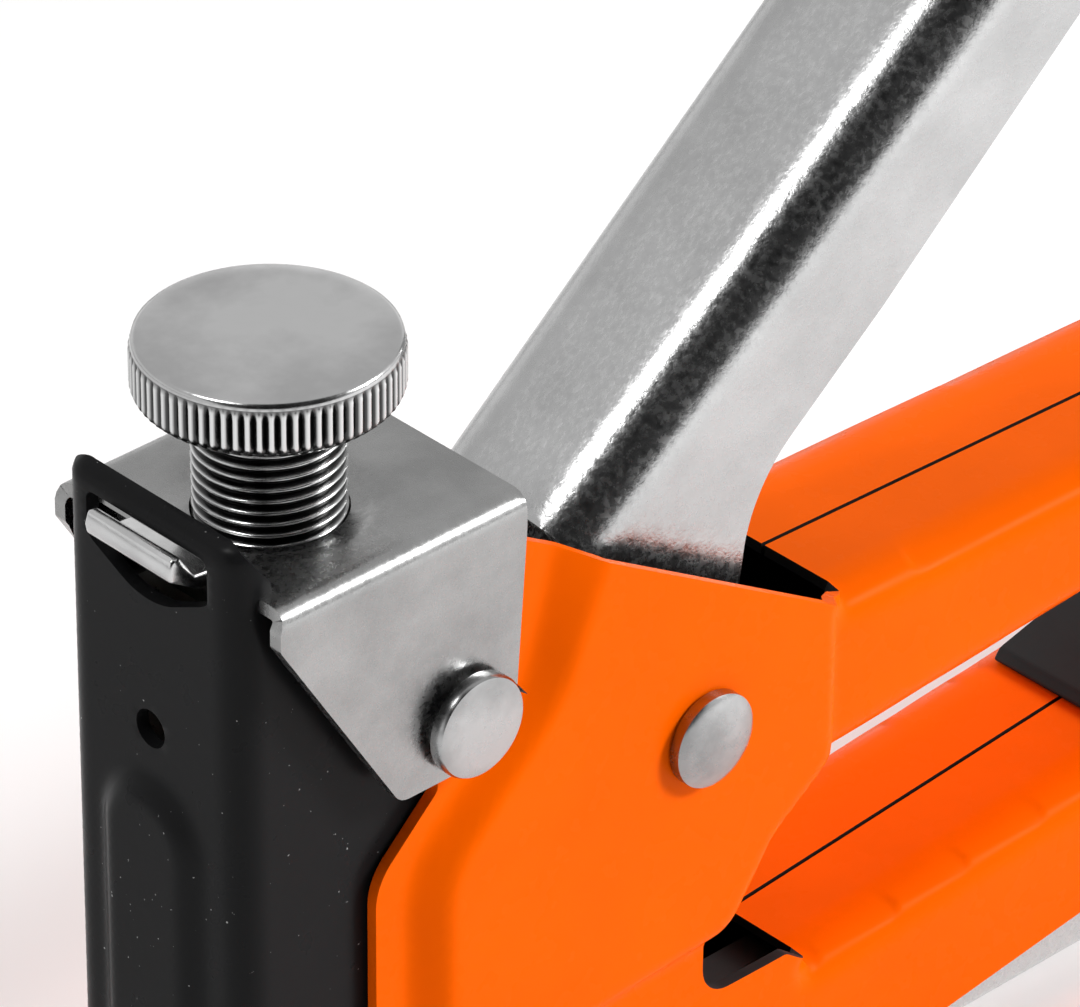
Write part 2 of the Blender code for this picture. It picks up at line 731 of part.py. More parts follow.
def headed_pin(name, place, radius, head_radius, dome, collar):
    """A pin across the tool: head on the left, snap ring groove on the right."""
    head_face = PANEL_HALF + 0.2 * MM + PIN_HEAD
    neck = head_face - PIN_HEAD
    far_end = -(PANEL_HALF + 2.2 * MM)
    profile = [(0, head_face + dome), (head_radius * 0.55, head_face + dome * 0.72)]
    profile += [(head_radius - 0.35 * MM, head_face), (head_radius, head_face - 0.35 * MM)]
    profile += [(head_radius, neck), (radius + collar, neck)]
    if collar:
        profile += [(radius + collar, CAP_HALF + 0.1 * MM), (radius, CAP_HALF + 0.1 * MM)]
    profile += [(radius, -(PANEL_HALF + GAP)), (radius - 0.6 * MM, -(PANEL_HALF + GAP))]
    profile += [(radius - 0.6 * MM, far_end + 0.6 * MM), (radius, far_end + 0.6 * MM)]
    profile += [(radius, far_end + 0.3 * MM), (radius - 0.3 * MM, far_end), (0, far_end)]
    pin = turned(name, profile, (place[0], 0, place[1]), "Y")
    return as_part(pin, ZINC)


def snap_ring(name, place, radius):
    """The open ring that holds a pin's right end."""
    inner_face = PANEL_HALF + GAP + 0.15 * MM
    ring = rod(name, place, radius + 1.6 * MM, inner_face, inner_face + 0.8 * MM)
    cut(ring, hole(name + "_bore", place, radius - 0.6 * MM + PLAY))
    mouth_half = (radius - 0.6 * MM) * 0.8
    mouth = outline([((place[0] - mouth_half) / MM, place[1] / MM - 9, 0),
                     ((place[0] + mouth_half) / MM, place[1] / MM - 9, 0),
                     ((place[0] + mouth_half) / MM, place[1] / MM, 0),
                     ((place[0] - mouth_half) / MM, place[1] / MM, 0)])
    cut(ring, slab(name + "_mouth", mouth, 5 * MM, 20 * MM))
    return as_part(ring, STEEL)


def lever_line(distance, below):
    """A point of the lever in side view, from its distance along the top line and depth below it."""
    along = (math.cos(LEVER_SLOPE), math.sin(LEVER_SLOPE))
    return (
        LEVER_FRONT[0] / MM + distance * along[0] + below * along[1],
        LEVER_FRONT[1] / MM + distance * along[1] - below * along[0],
    )


def arm_tip():
    return (
        HANDLE_PIN[0] / MM - ARM_LENGTH / MM * math.cos(ARM_ANGLE),
        HANDLE_PIN[1] / MM - ARM_LENGTH / MM * math.sin(ARM_ANGLE),
    )


def flare(obj):
    """Widens a piece of the lever evenly, from the arm's tip to the grip end."""
    start = lever_run(*[c * MM for c in arm_tip()])
    growth = LEVER_END_HALF / LEVER_HALF - 1
    for vert in obj.data.vertices:
        share = (lever_run(vert.co.x, vert.co.z) - start) / (LEVER_LENGTH - start)
        vert.co.y *= 1 + growth * share
    return obj


def lever_run(x, z):
    """How far along the lever's top line an (x, z) place lies."""
    ahead = (x - LEVER_FRONT[0]) * math.cos(LEVER_SLOPE)
    return ahead + (z - LEVER_FRONT[1]) * math.sin(LEVER_SLOPE)


def lever_outline(inset):
    """Side view of the lever: top line, grip end, under edge, pivot boss and lifting arm."""
    length = LEVER_LENGTH / MM
    pin_x = HANDLE_PIN[0] / MM
    pin_z = HANDLE_PIN[1] / MM
    tip_x, tip_z = arm_tip()
    if inset:
        return outline(
            [(*lever_line(-20, inset), 0), (*lever_line(length - inset, inset), 2),
             (*lever_line(length - inset, 40), 0), (60, 30, 0), (-10, 30, 0)]
        )
    return outline(
        [
            (*lever_line(0, 0), 1.5),
            (*lever_line(length, 0), 3),
            (*lever_line(length, 9.5), 3),
            (*lever_line(66, 12.2), 60),
            (56.6, 78.0, 14),
            (42.6, 66.4, 14),
            (40.4, pin_z - 1, 5),
            (pin_x - 2, pin_z - 7.5, 6),
            (tip_x + 1, tip_z - 3.0, 2),
            (tip_x - 3.2, tip_z + 1.2, 2),
            (tip_x + 2.4, tip_z + 4.4, 2),
            (25.4, 53.0, 8),
        ]
    )


def lever_volume(name, inset):
    """The lever's outer volume, or its inside when inset by the sheet's thickness."""
    half = LEVER_HALF - inset
    volume = flare(slab(name, lever_outline(inset / MM), -half, half))
    for side in (-1, 1):
        rings = []
        for shift, level in shoulder_steps(LEVER_SHOULDER - inset):
            below = (shift + inset) / MM
            line = [lever_line(-30, -20), lever_line(170, -20)]
            line += [lever_line(170, below), lever_line(-30, below)]
            rings.append(([(u * MM, v * MM) for u, v in line], (half + level) * side))
        rings.append((rings[-1][0], (half + 5 * MM) * side))
        cut(volume, flare(lofted(f"{name}_shoulder_{side}", rings)))
    return volume


def handle_lever():
    """A folded channel: flat top with rounded shoulders, side plates down to the pivot and the claw."""
    lever = lever_volume("handle_lever", 0)
    cut(lever, lever_volume("lever_inside", LEVER_SHEET))
    cut(lever, hole("lever_pin_hole", HANDLE_PIN, HANDLE_PIN_RADIUS + PLAY))
    tip = tuple(c * MM for c in arm_tip())
    cut(lever, hole("lever_claw_hole", tip, 1.0 * MM + PLAY / 2))
    return as_part(lever, CHROME)


def claw_pin():
    tip_x, tip_z = arm_tip()
    end = LEVER_HALF - 0.05 * MM
    pin = turned("claw_pin", [(0, end), (1.0 * MM, end), (1.0 * MM, -end), (0, -end)],
                 (tip_x * MM, 0, tip_z * MM), "Y", 16)
    return as_part(pin, STEEL)


def lifting_claw():
    """The stirrup that hooks under the striker and lifts it."""
    x, z = arm_tip()
    cheek = outline(
        [(x - 2.0, z + 2.0, 1.8), (x + 2.4, z + 2.0, 1.8), (x + 2.4, 27.4, 1), (5.9, 27.4, 0.5),
         (5.9, 30.6, 0), (x + 0.6, 30.6, 0.3), (x + 0.6, 36.6, 0.5), (x - 2.0, z - 2.0, 1.0)]
    )
    claw = slab("lifting_claw", cheek, -5.4 * MM, 5.4 * MM)
    cut(claw, box("claw_gap", (0, -3.3, 31.5), (20, 3.3, 50)))
    cut(claw, hole("claw_eye", (x * MM, z * MM), 1.0 * MM + PLAY / 2))
    return as_part(claw, STEEL)


def return_spring():
    """The torsion spring that swings the lever back up, wound round the handle pin."""
    x, z = HANDLE_PIN
    radius = HANDLE_PIN_RADIUS + 1.4 * MM
    half = 5.4 * MM
    points = helix((x, z), radius, -half, half, 6.25, "Y", 8, 0.0)
    leg_in = (x + radius, -half, z - 8 * MM)
    leg_out = (x - 7 * MM, half, z + radius)
    return as_part(wire("return_spring", [leg_in] + points + [leg_out], 0.6 * MM, 1), STEEL)


def rivet(name, place):
    end = BAR_HALF + 1.2 * MM
    head = RIVET_RADIUS + 1.5 * MM
    seat = BAR_HALF + 0.2 * MM
    profile = [(0, end), (head * 0.6, end - 0.15 * MM), (head, seat + 0.3 * MM), (head, seat)]
    profile += [(RIVET_RADIUS, seat), (RIVET_RADIUS, -seat), (head, -seat), (head, -seat - 0.3 * MM)]
    profile += [(head * 0.6, -end + 0.15 * MM), (0, -end)]
    return as_part(turned(name, profile, (place[0], 0, place[1]), "Y", 20), ZINC)


def magazine_channel():
    """The fixed channel whose underside is the tool's flat base."""
    half = CHANNEL_HALF / MM
    top = CHANNEL_TOP / MM
    inner = half - CHANNEL_SHEET / MM
    section = outline(
        [(-half, top, 0), (-half, 0, 0.8), (half, 0, 0.8), (half, top, 0), (inner, top, 0),
         (inner, 1.0, 0), (-inner, 1.0, 0), (-inner, top, 0)],
        2,
    )
    return as_part(slab("magazine_channel", section, CHANNEL_FRONT, CHANNEL_REAR, "X"), ZINC)


def staple_rail():
    """The slotted rail that the staples straddle. It pulls out to the back."""
    half = RAIL_HALF / MM
    top = RAIL_TOP / MM
    inner = half - 0.8
    section = outline(
        [(-half, 1.4, 0), (-inner, 1.4, 0), (-inner, top - 0.8, 0), (inner, top - 0.8, 0),
         (inner, 1.4, 0), (half, 1.4, 0), (half, top, 0.4), (-half, top, 0.4)],
        2,
    )
    rail = slab("staple_rail", section, CHANNEL_FRONT + GAP, CHANNEL_REAR + 3 * MM, "X")
    fuse(rail, box("rail_nose", (-9.0, -4.0, 2.0), (-4.5, 4.0, 14.5)))
    cut(rail, box("rail_slot", (-2, -1.3, 13), (CHANNEL_REAR / MM - 10, 1.3, 20)))
    cut(rail, rod("rail_rod_hole", (0, ROD_HEIGHT), ROD_RADIUS + PLAY, -7.5 * MM, 0, "X", 16))
    return as_part(rail, BLACKED)


def rail_end_plug():
    """The grip block at the back of the rail."""
    front = CHANNEL_REAR / MM + 3.4
    back = front + 10.6
    plug = slab(
        "rail_end_plug",
        outline([(front, 0.8, 1), (back, 0.8, 2.5), (back, 17.0, 3), (front, 17.0, 1)]),
        -8.4 * MM,
        8.4 * MM,
    )
    for side in (-1, 1):
        name = f"plug_grip_{side}"
        thumb = ((back + 1) * MM, 9 * MM)
        cut(plug, rod(name, thumb, 4.5 * MM, 6.5 * MM * side, 12 * MM * side))
    end = CHANNEL_REAR + 10 * MM
    cut(plug, rod("plug_rod_hole", (0, ROD_HEIGHT), ROD_RADIUS + PLAY, CHANNEL_REAR, end, "X", 16))
    return as_part(plug, BLACK_PLASTIC)


def guide_rod():
    bar = rod("guide_rod", (0, ROD_HEIGHT), ROD_RADIUS, -7.2 * MM, CHANNEL_REAR + 9.6 * MM, "X", 16)
    return as_part(bar, STEEL)


def strip_start():
    return CHANNEL_FRONT + 0.1 * MM


def staple_strip():
    """A glued strip of staples astride the rail."""
    half = STAPLE_HALF / MM
    inner = half - STAPLE_WIRE / MM
    crown = (RAIL_TOP + GAP + STAPLE_WIRE) / MM
    foot = crown - STAPLE_LEG / MM
    section = outline(
        [(-half, foot, 0), (-inner, foot, 0), (-inner, crown - STAPLE_WIRE / MM, 0),
         (inner, crown - STAPLE_WIRE / MM, 0), (inner, foot, 0), (half, foot, 0), (half, crown, 0.3),
         (-half, crown, 0.3)],
        2,
    )
    start = strip_start()
    return as_part(slab("staple_strip", section, start, start + STRIP_LENGTH, "X"), ZINC)


def pusher():
    """The follower behind the staples, held on the guide rod by a web through the rail's slot."""
    half = STAPLE_HALF / MM
    inner = half - STAPLE_WIRE / MM
    crown = (RAIL_TOP + GAP + STAPLE_WIRE) / MM
    section = outline(
        [(-half, 5, 0), (-inner, 5, 0), (-inner, crown - 0.65, 0), (inner, crown - 0.65, 0),
         (inner, 5, 0), (half, 5, 0), (half, crown, 0.3), (-half, crown, 0.3)],
        2,
    )
    start = strip_start() + STRIP_LENGTH + GAP
    follower = slab("pusher", section, start, start + 12 * MM, "X")
    x = start / MM
    fuse(follower, box("pusher_web", (x + 0.4, -1.0, 10), (x + 8, 1.0, 15.6)))
    fuse(follower, box("pusher_shoe", (x + 0.8, -3.4, 5.2), (x + 7.6, 3.4, 11.8)))
    bore = (0, ROD_HEIGHT)
    cut(follower, rod("pusher_bore", bore, ROD_RADIUS + PLAY, start - 5 * MM, start + 20 * MM, "X", 16))
    return as_part(follower, BLACKED)


def pusher_spring():
    start = strip_start() + STRIP_LENGTH + 8 * MM + 2 * GAP
    points = helix((0, ROD_HEIGHT), 2.5 * MM, start + 0.35 * MM, CHANNEL_REAR + 2.6 * MM, 15, "X", 7)
    return as_part(wire("pusher_spring", points, 0.35 * MM, 1), STEEL)


def opening_floor(x):
    """Height of the finger opening's lower edge at a station, in millimetres."""
    (front, low), (rear, high) = [FINGER_OPENING[i][:2] for i in (3, 4)]
    return low + (high - low) * (x - front) / (rear - front)


def grip_insert():
    """The black liner at the back of the finger opening, clipped into the seam of the lower bar."""
    rear = OPENING_REAR / MM
    rises = [(-43.4, 0.35, 0.3), (-42.5, 1.55, 0.8), (-27, 4.05, 20), (-10, 6.45, 8)]
    corners = [(rear + x, opening_floor(rear + x) + rise, radius) for x, rise, radius in rises]
    top = opening_floor(rear) + 11.8
    corners += [(rear - 2.4, top, 1), (rear - 0.35, top, 0.4)]
    corners.append((rear - 0.35, opening_floor(rear) + 0.35, 9))
    insert = slab("grip_insert", outline(corners), -7.6 * MM, 7.6 * MM)
    insert.modifiers.new("soft_edges", "BEVEL").width = 0.5 * MM
    return as_part(insert, BLACK_PLASTIC)


def magazine_latch():
    """The thumb catch over the end plug."""
    x = LATCH_PIVOT[0] / MM
    z = LATCH_PIVOT[1] / MM
    side = outline(
        [(x - 3.0, z + 3.0, 2), (x + 4.5, z + 3.2, 1), (x + 14.5, z + 2.4, 1), (x + 14.5, z - 1.2, 1),
         (x + 5.5, z - 1.4, 1), (x + 3.4, 17.6, 0.4), (x - 2.0, 17.6, 0.4), (x - 3.0, z - 3, 1)]
    )
    catch = slab("magazine_latch", side, -4.0 * MM, 4.0 * MM)
    cut(catch, hole("latch_eye", LATCH_PIVOT, LATCH_PIN_RADIUS + PLAY))
    return as_part(catch, BLACK_PLASTIC)


def latch_pin():
    end = BAR_HALF + 0.6 * MM
    radius = LATCH_PIN_RADIUS
    pin = turned("latch_pin", [(0, end), (radius, end), (radius, -end), (0, -end)],
                 (LATCH_PIVOT[0], 0, LATCH_PIVOT[1]), "Y", 16)
    return as_part(pin, ZINC)


def latch_spring():
    centre = (LATCH_PIVOT[0] + 1.0 * MM, 0)
    low = LATCH_PIVOT[1] + 4.0 * MM
    points = helix(centre, 1.6 * MM, low, low + 4.5 * MM, 4, "Z", 8)
    return as_part(wire("latch_spring", points, 0.25 * MM, 1), STEEL)


def build():
    for name, side in (("left_shell", -1), ("right_shell", 1)):
        shell(name, side)
    nose_plate()
    top_cap()
    adjuster_nut()
    pivot("adjuster_axis", (0, 0, SEAT_LEVEL), adjuster_knob(), spring_seat())
    main_spring()
    pivot("driver_axis", (0, 0, STRIKER_TOP), striker_block(), driver_blade())
    inner_frame()
    bumper()
    handle = handle_lever()
    tip_x, tip_z = arm_tip()
    pivot("lever_axis", (HANDLE_PIN[0], 0, HANDLE_PIN[1]), handle, claw_pin())
    pivot("claw_axis", (tip_x * MM, 0, tip_z * MM), lifting_claw())
    return_spring()
    head = FRONT_PIN_RADIUS + 1.9 * MM
    headed_pin("front_pin", FRONT_PIN, FRONT_PIN_RADIUS, head, 0.05 * MM, 0.9 * MM)
    head = HANDLE_PIN_RADIUS + 1.17 * MM
    headed_pin("handle_pin", HANDLE_PIN, HANDLE_PIN_RADIUS, head, 0.35 * MM, 0)
    snap_ring("front_pin_ring", FRONT_PIN, FRONT_PIN_RADIUS)
    snap_ring("handle_pin_ring", HANDLE_PIN, HANDLE_PIN_RADIUS)
    for name, place in RIVETS.items():
        rivet(name, place)
    magazine_channel()
    drawer = [staple_rail(), rail_end_plug(), guide_rod(), staple_strip()]
    pivot("rail_axis", (CHANNEL_REAR, 0, ROD_HEIGHT), *drawer)
    pivot("pusher_axis", (strip_start() + STRIP_LENGTH, 0, ROD_HEIGHT), pusher())
    pusher_spring()
    grip_insert()
    pivot("latch_axis", (LATCH_PIVOT[0], 0, LATCH_PIVOT[1]), magazine_latch())
    latch_pin()
    latch_spring()


clear_scene()
TOOL = new_collection("Staple gun")
CUTTERS = new_collection("Cutters")
build()
bpy.context.view_layer.update()
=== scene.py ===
"""Looks of the staple gun: fine pressed-steel skins, thread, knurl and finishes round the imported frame."""

import math

import bmesh
import bpy
import numpy as np
from mathutils import Matrix, Vector
from mathutils.geometry import delaunay_2d_cdt


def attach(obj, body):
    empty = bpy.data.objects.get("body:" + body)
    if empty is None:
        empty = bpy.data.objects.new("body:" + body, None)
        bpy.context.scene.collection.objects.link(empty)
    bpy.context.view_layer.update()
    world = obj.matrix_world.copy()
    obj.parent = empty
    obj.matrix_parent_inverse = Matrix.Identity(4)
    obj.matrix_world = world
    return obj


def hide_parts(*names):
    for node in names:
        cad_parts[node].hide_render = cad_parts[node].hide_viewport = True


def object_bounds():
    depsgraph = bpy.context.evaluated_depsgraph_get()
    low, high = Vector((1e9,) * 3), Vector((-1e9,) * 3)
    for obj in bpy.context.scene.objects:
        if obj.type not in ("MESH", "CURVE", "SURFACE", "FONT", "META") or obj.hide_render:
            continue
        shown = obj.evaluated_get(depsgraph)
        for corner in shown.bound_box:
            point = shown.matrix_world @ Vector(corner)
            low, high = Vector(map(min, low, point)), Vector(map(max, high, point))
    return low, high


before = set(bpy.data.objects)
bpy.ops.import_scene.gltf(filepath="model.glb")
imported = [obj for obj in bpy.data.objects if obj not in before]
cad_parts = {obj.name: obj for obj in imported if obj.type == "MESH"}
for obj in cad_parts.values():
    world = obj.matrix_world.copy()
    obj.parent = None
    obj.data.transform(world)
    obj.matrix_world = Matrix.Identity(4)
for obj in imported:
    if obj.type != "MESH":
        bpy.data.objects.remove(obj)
cad_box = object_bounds()

MM = 0.001

# Body sheet: its thickness, the shoulder's radius, the half-widths of its three levels, half the seam's gap
SHEET = 1.0 * MM
SHOULDER = 3.0 * MM
BAR = 10.5 * MM
RIM = 11.45 * MM
PANEL = 13.4 * MM
SEAM = 0.2 * MM

# Sheet of the nose plate, the cap and the lever
PLATE_SHEET = 1.2 * MM


def mm(point):
    return tuple(c * MM for c in point)


# ---------------------------------------------------------------- outlines

SHORTEST = 0.02 * MM


def arc_corner(before, corner, after, radius, step):
    """Points of the arc that rounds a corner of a plane outline."""
    back = (Vector(before) - Vector(corner)).normalized()
    ahead = (Vector(after) - Vector(corner)).normalized()
    half = back.angle(ahead) / 2
    radius = min(radius, 0.49 * math.tan(half) * min(
        (Vector(before) - Vector(corner)).length, (Vector(after) - Vector(corner)).length))
    centre = Vector(corner) + (back + ahead).normalized() * radius / math.sin(half)
    start = Vector(corner) + back * radius / math.tan(half) - centre
    turn = math.pi - 2 * half
    count = max(2, int(math.ceil(turn * radius / step)))
    if back.x * ahead.y - back.y * ahead.x > 0:
        turn = -turn
    angles = [turn * i / count for i in range(count + 1)]
    return [
        (centre.x + start.x * math.cos(a) - start.y * math.sin(a),
         centre.y + start.x * math.sin(a) + start.y * math.cos(a))
        for a in angles
    ]


def rounded(corners, step=0.5 * MM, closed=True):
    """Outline through (u, v, radius) corners in millimetres, cut into short steps."""
    path = []
    count = len(corners)
    for i, (u, v, radius) in enumerate(corners):
        end = not closed and i in (0, count - 1)
        if radius and not end:
            before = mm(corners[i - 1][:2])
            after = mm(corners[(i + 1) % count][:2])
            path += arc_corner(before, (u * MM, v * MM), after, radius * MM, step)
        else:
            path.append((u * MM, v * MM))
    return subdivided(path, step, closed)


def subdivided(path, step, closed):
    """The same line with points about a step apart, and no two points closer than SHORTEST."""
    points = []
    ends = path[1:] + path[:1] if closed else path[1:]
    for a, b in zip(path, ends):
        length = math.dist(a, b)
        if length < SHORTEST:
            continue
        count = max(1, int(round(length / step)))
        for i in range(count):
            points.append((a[0] + (b[0] - a[0]) * i / count, a[1] + (b[1] - a[1]) * i / count))
    if not closed:
        points.append(path[-1])
    return points


def ring(u, v, radius, count):
    angles = [2 * math.pi * i / count for i in range(count)]
    return [(u + radius * math.cos(a), v + radius * math.sin(a)) for a in angles]


def distance_to(points, path, closed):
    """Distance from each point to a line of points."""
    starts = np.array(path)
    ends = np.roll(starts, -1, axis=0)
    if not closed:
        starts, ends = starts[:-1], ends[:-1]
    best = np.full(len(points), np.inf)
    for a, b in zip(starts, ends):
        along = b - a
        share = np.clip(((points - a) @ along) / (along @ along), 0, 1)
        gap = points - (a + share[:, None] * along)
        best = np.minimum(best, np.hypot(gap[:, 0], gap[:, 1]))
    return best


def inside(points, path):
    """Which points lie inside a closed line of points."""
    x, y = points[:, 0], points[:, 1]
    result = np.zeros(len(points), bool)
    for (ax, ay), (bx, by) in zip(path, path[1:] + path[:1]):
        if ay == by:
            continue
        crosses = (ay > y) != (by > y)
        result ^= crosses & (x < (bx - ax) * (y - ay) / (by - ay) + ax)
    return result


def signed(points, path):
    """Distance to a closed outline, negative inside it."""
    return distance_to(points, path, True) * np.where(inside(points, path), -1, 1)


def smooth(low, high, value):
    share = np.clip((value - low) / (high - low), 0, 1)
    return share * share * (3 - 2 * share)


# ------------------------------------------------------------ sheet meshes


def flat_mesh(loops, spacing):
    """Triangles that fill the first loop less the others: (points, faces)."""
    spots = [point for loop in loops for point in loop]
    edges = []
    start = 0
    for loop in loops:
        count = len(loop)
        edges += [(start + i, start + (i + 1) % count) for i in range(count)]
        start += count
    low = np.min(np.array(loops[0]), axis=0)
    high = np.max(np.array(loops[0]), axis=0)
    xs = np.arange(low[0] + spacing / 2, high[0], spacing)
    ys = np.arange(low[1] + spacing / 2, high[1], spacing * 0.866)
    grid = np.array([(x + (spacing / 2 if j % 2 else 0), y) for j, y in enumerate(ys) for x in xs])
    keep = inside(grid, loops[0])
    for loop in loops[1:]:
        keep &= ~inside(grid, loop)
    grid = grid[keep]
    for loop in loops:
        grid = grid[distance_to(grid, loop, True) > spacing * 0.55]
    spots += [tuple(point) for point in grid]
    result = delaunay_2d_cdt([Vector(p) for p in spots], edges, [], 0, 1e-9)
    points = np.array([tuple(v) for v in result[0]])
    faces = np.array(result[2])
    middle = points[faces].mean(axis=1)
    keep = inside(middle, loops[0])
    for loop in loops[1:]:
        keep &= ~inside(middle, loop)
    return points, faces[keep]


def mesh_object(name, points, faces, ride, material):
    mesh = bpy.data.meshes.new(name)
    mesh.from_pydata([tuple(p) for p in points], [], [tuple(int(i) for i in f) for f in faces])
    mesh.validate()
    return piece(name, mesh, ride, material)


def piece(name, mesh, ride, material):
    """A visible piece that moves with the body named in ride."""
    obj = bpy.data.objects.new(name, mesh)
    bpy.context.scene.collection.objects.link(obj)
    mesh.materials.append(material)
    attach(obj, ride)
    return obj


def finish_mesh(obj, angle=40):
    """Applies the piece's modifiers and shades it smooth up to an angle."""
    bpy.context.view_layer.update()
    graph = bpy.context.evaluated_depsgraph_get()
    mesh = bpy.data.meshes.new_from_object(obj.evaluated_get(graph))
    obj.modifiers.clear()
    obj.data = mesh
    mesh.shade_smooth()
    mesh.set_sharp_from_angle(angle=math.radians(angle))
    return obj


def thicken(obj, thickness, rim_bevel, inner):
    """Gives a skin its sheet thickness, inwards, with softened cut edges and, if named, a material for its
    inside; on the shells that is the near-black painted shade.
    """
    solid = obj.modifiers.new("sheet", "SOLIDIFY")
    solid.thickness = thickness
    solid.offset = -1
    solid.use_even_offset = False
    if inner:
        obj.data.materials.append(inner)
        obj.data.materials.append(obj.data.materials[0])
        solid.material_offset = 1
        solid.material_offset_rim = 2
    solid.use_rim = True
    solid.thickness_clamp = 0
    if rim_bevel:
        bevel = obj.modifiers.new("edge", "BEVEL")
        bevel.width = rim_bevel
        bevel.segments = 2
        bevel.limit_method = "ANGLE"
        bevel.angle_limit = math.radians(55)
        bevel.use_clamp_overlap = True
    return finish_mesh(obj)


def skin(name, loops, shape, spacing, thickness, ride, material, outward,
         rim_bevel=0.12 * MM, strips=(), inner=None):
    """A sheet piece: a flat pattern, meshed finely, bent by shape() and given its thickness."""
    points, faces = flat_mesh(loops, spacing)
    bent = shape(points)
    mesh = bmesh.new()
    verts = [mesh.verts.new(tuple(p)) for p in bent]
    for face in faces:
        try:
            mesh.faces.new([verts[int(i)] for i in face])
        except ValueError:
            continue
    for strip in strips:
        strip(mesh, verts, points)
    loose = [v for v in mesh.verts if not v.link_faces]
    bmesh.ops.delete(mesh, geom=loose, context="VERTS")
    bmesh.ops.recalc_face_normals(mesh, faces=mesh.faces)
    face = max(mesh.faces, key=lambda f: f.calc_center_median().dot(Vector(outward)))
    if face.normal.dot(Vector(outward)) < 0:
        bmesh.ops.reverse_faces(mesh, faces=mesh.faces)
    data = bpy.data.meshes.new(name)
    mesh.to_mesh(data)
    mesh.free()
    obj = piece(name, data, ride, material)
    return thicken(obj, thickness, rim_bevel, inner)


def join_rings(mesh, rings, steps):
    """Faces between rings of points, where a ring may also be a single point."""
    for high, low in zip(rings, rings[1:]):
        for i in range(steps):
            j = (i + 1) % steps
            corners = [high[i % len(high)], low[i % len(low)], low[j % len(low)], high[j % len(high)]]
            corners = [v for k, v in enumerate(corners) if v not in corners[:k]]
            if len(corners) > 2:
                mesh.faces.new(corners)
    bmesh.ops.recalc_face_normals(mesh, faces=mesh.faces)


def lathe(name, profile, place, axis, steps, ride, material):
    """A turned piece about Z or Y from (radius, height) pairs, top to bottom."""
    mesh = bmesh.new()
    rings = []
    for radius, height in profile:
        if radius == 0:
            rings.append([mesh.verts.new((0, 0, height))])
            continue
        rings.append([mesh.verts.new((x, y, height)) for x, y in ring(0, 0, radius, steps)])
    join_rings(mesh, rings, steps)
    turn = Matrix.Rotation(math.pi / 2, 4, "X") if axis == "Y" else Matrix()
    bmesh.ops.transform(mesh, matrix=Matrix.Translation(place) @ turn, verts=mesh.verts)
    data = bpy.data.meshes.new(name)
    mesh.to_mesh(data)
    mesh.free()
    return finish_mesh(piece(name, data, ride, material), 35)


# --------------------------------------------------------------- materials


def new_material(name, colour, roughness, metallic=0.0):
    made = bpy.data.materials.new(name)
    made.use_nodes = True
    nodes = made.node_tree.nodes
    shader = nodes["Principled BSDF"]
    shader.inputs["Base Color"].default_value = (*colour, 1)
    shader.inputs["Roughness"].default_value = roughness
    shader.inputs["Metallic"].default_value = metallic
    return made


def noise(tree, scale, detail, rough=0.6):
    """A noise value over the object's own coordinates."""
    place = tree.nodes.new("ShaderNodeTexCoord")
    texture = tree.nodes.new("ShaderNodeTexNoise")
    texture.inputs["Scale"].default_value = scale
    texture.inputs["Detail"].default_value = detail
    texture.inputs["Roughness"].default_value = rough
    tree.links.new(place.outputs["Object"], texture.inputs["Vector"])
    return texture.outputs["Fac"]


def ramp(tree, value, stops):
    """A colour ramp from (position, colour) stops."""
    node = tree.nodes.new("ShaderNodeValToRGB")
    elements = node.color_ramp.elements
    while len(elements) < len(stops):
        elements.new(0.5)
    for element, (position, colour) in zip(elements, stops):
        element.position = position
        element.color = (*colour, 1)
    tree.links.new(value, node.inputs["Fac"])
    return node.outputs["Color"]


def spread(tree, value, low, high, from_low=0.3, from_high=0.7):
    """Maps a value's middle range onto low to high."""
    node = tree.nodes.new("ShaderNodeMapRange")
    node.inputs["From Min"].default_value = from_low
    node.inputs["From Max"].default_value = from_high
    node.inputs["To Min"].default_value = low
    node.inputs["To Max"].default_value = high
    tree.links.new(value, node.inputs["Value"])
    return node.outputs["Result"]


def bump(tree, value, strength, distance):
    node = tree.nodes.new("ShaderNodeBump")
    node.inputs["Strength"].default_value = strength
    node.inputs["Distance"].default_value = distance
    tree.links.new(value, node.inputs["Height"])
    return node.outputs["Normal"]


def paint(name, colour, roughness, peel, specks=None, gloss=0.3, tint=(1.0, 1.0, 1.0)):
    """Powder coat: faint orange peel, slight colour drift, and optional pale dust specks."""
    made = new_material(name, colour, roughness)
    tree = made.node_tree
    shader = tree.nodes["Principled BSDF"]
    shader.inputs["Specular IOR Level"].default_value = gloss
    shader.inputs["Specular Tint"].default_value = (*tint, 1)
    drift = noise(tree, 60, 3)
    dark = tuple(c * 0.93 for c in colour)
    shade = ramp(tree, drift, [(0.35, dark), (0.65, colour)])
    if specks:
        dust = noise(tree, 2200, 2, rough=0.5)
        mask = spread(tree, dust, 0.0, 1.0, specks, specks + 0.03)
        mix = tree.nodes.new("ShaderNodeMix")
        mix.data_type = "RGBA"
        mix.inputs["B"].default_value = (0.35, 0.35, 0.35, 1)
        tree.links.new(mask, mix.inputs["Factor"])
        tree.links.new(shade, mix.inputs["A"])
        shade = mix.outputs["Result"]
    tree.links.new(shade, shader.inputs["Base Color"])
    worn = spread(tree, noise(tree, 200, 3), roughness * 0.85, roughness * 1.15)
    tree.links.new(worn, shader.inputs["Roughness"])
    tree.links.new(bump(tree, noise(tree, 500, 2), peel, 0.0001), shader.inputs["Normal"])
    return made


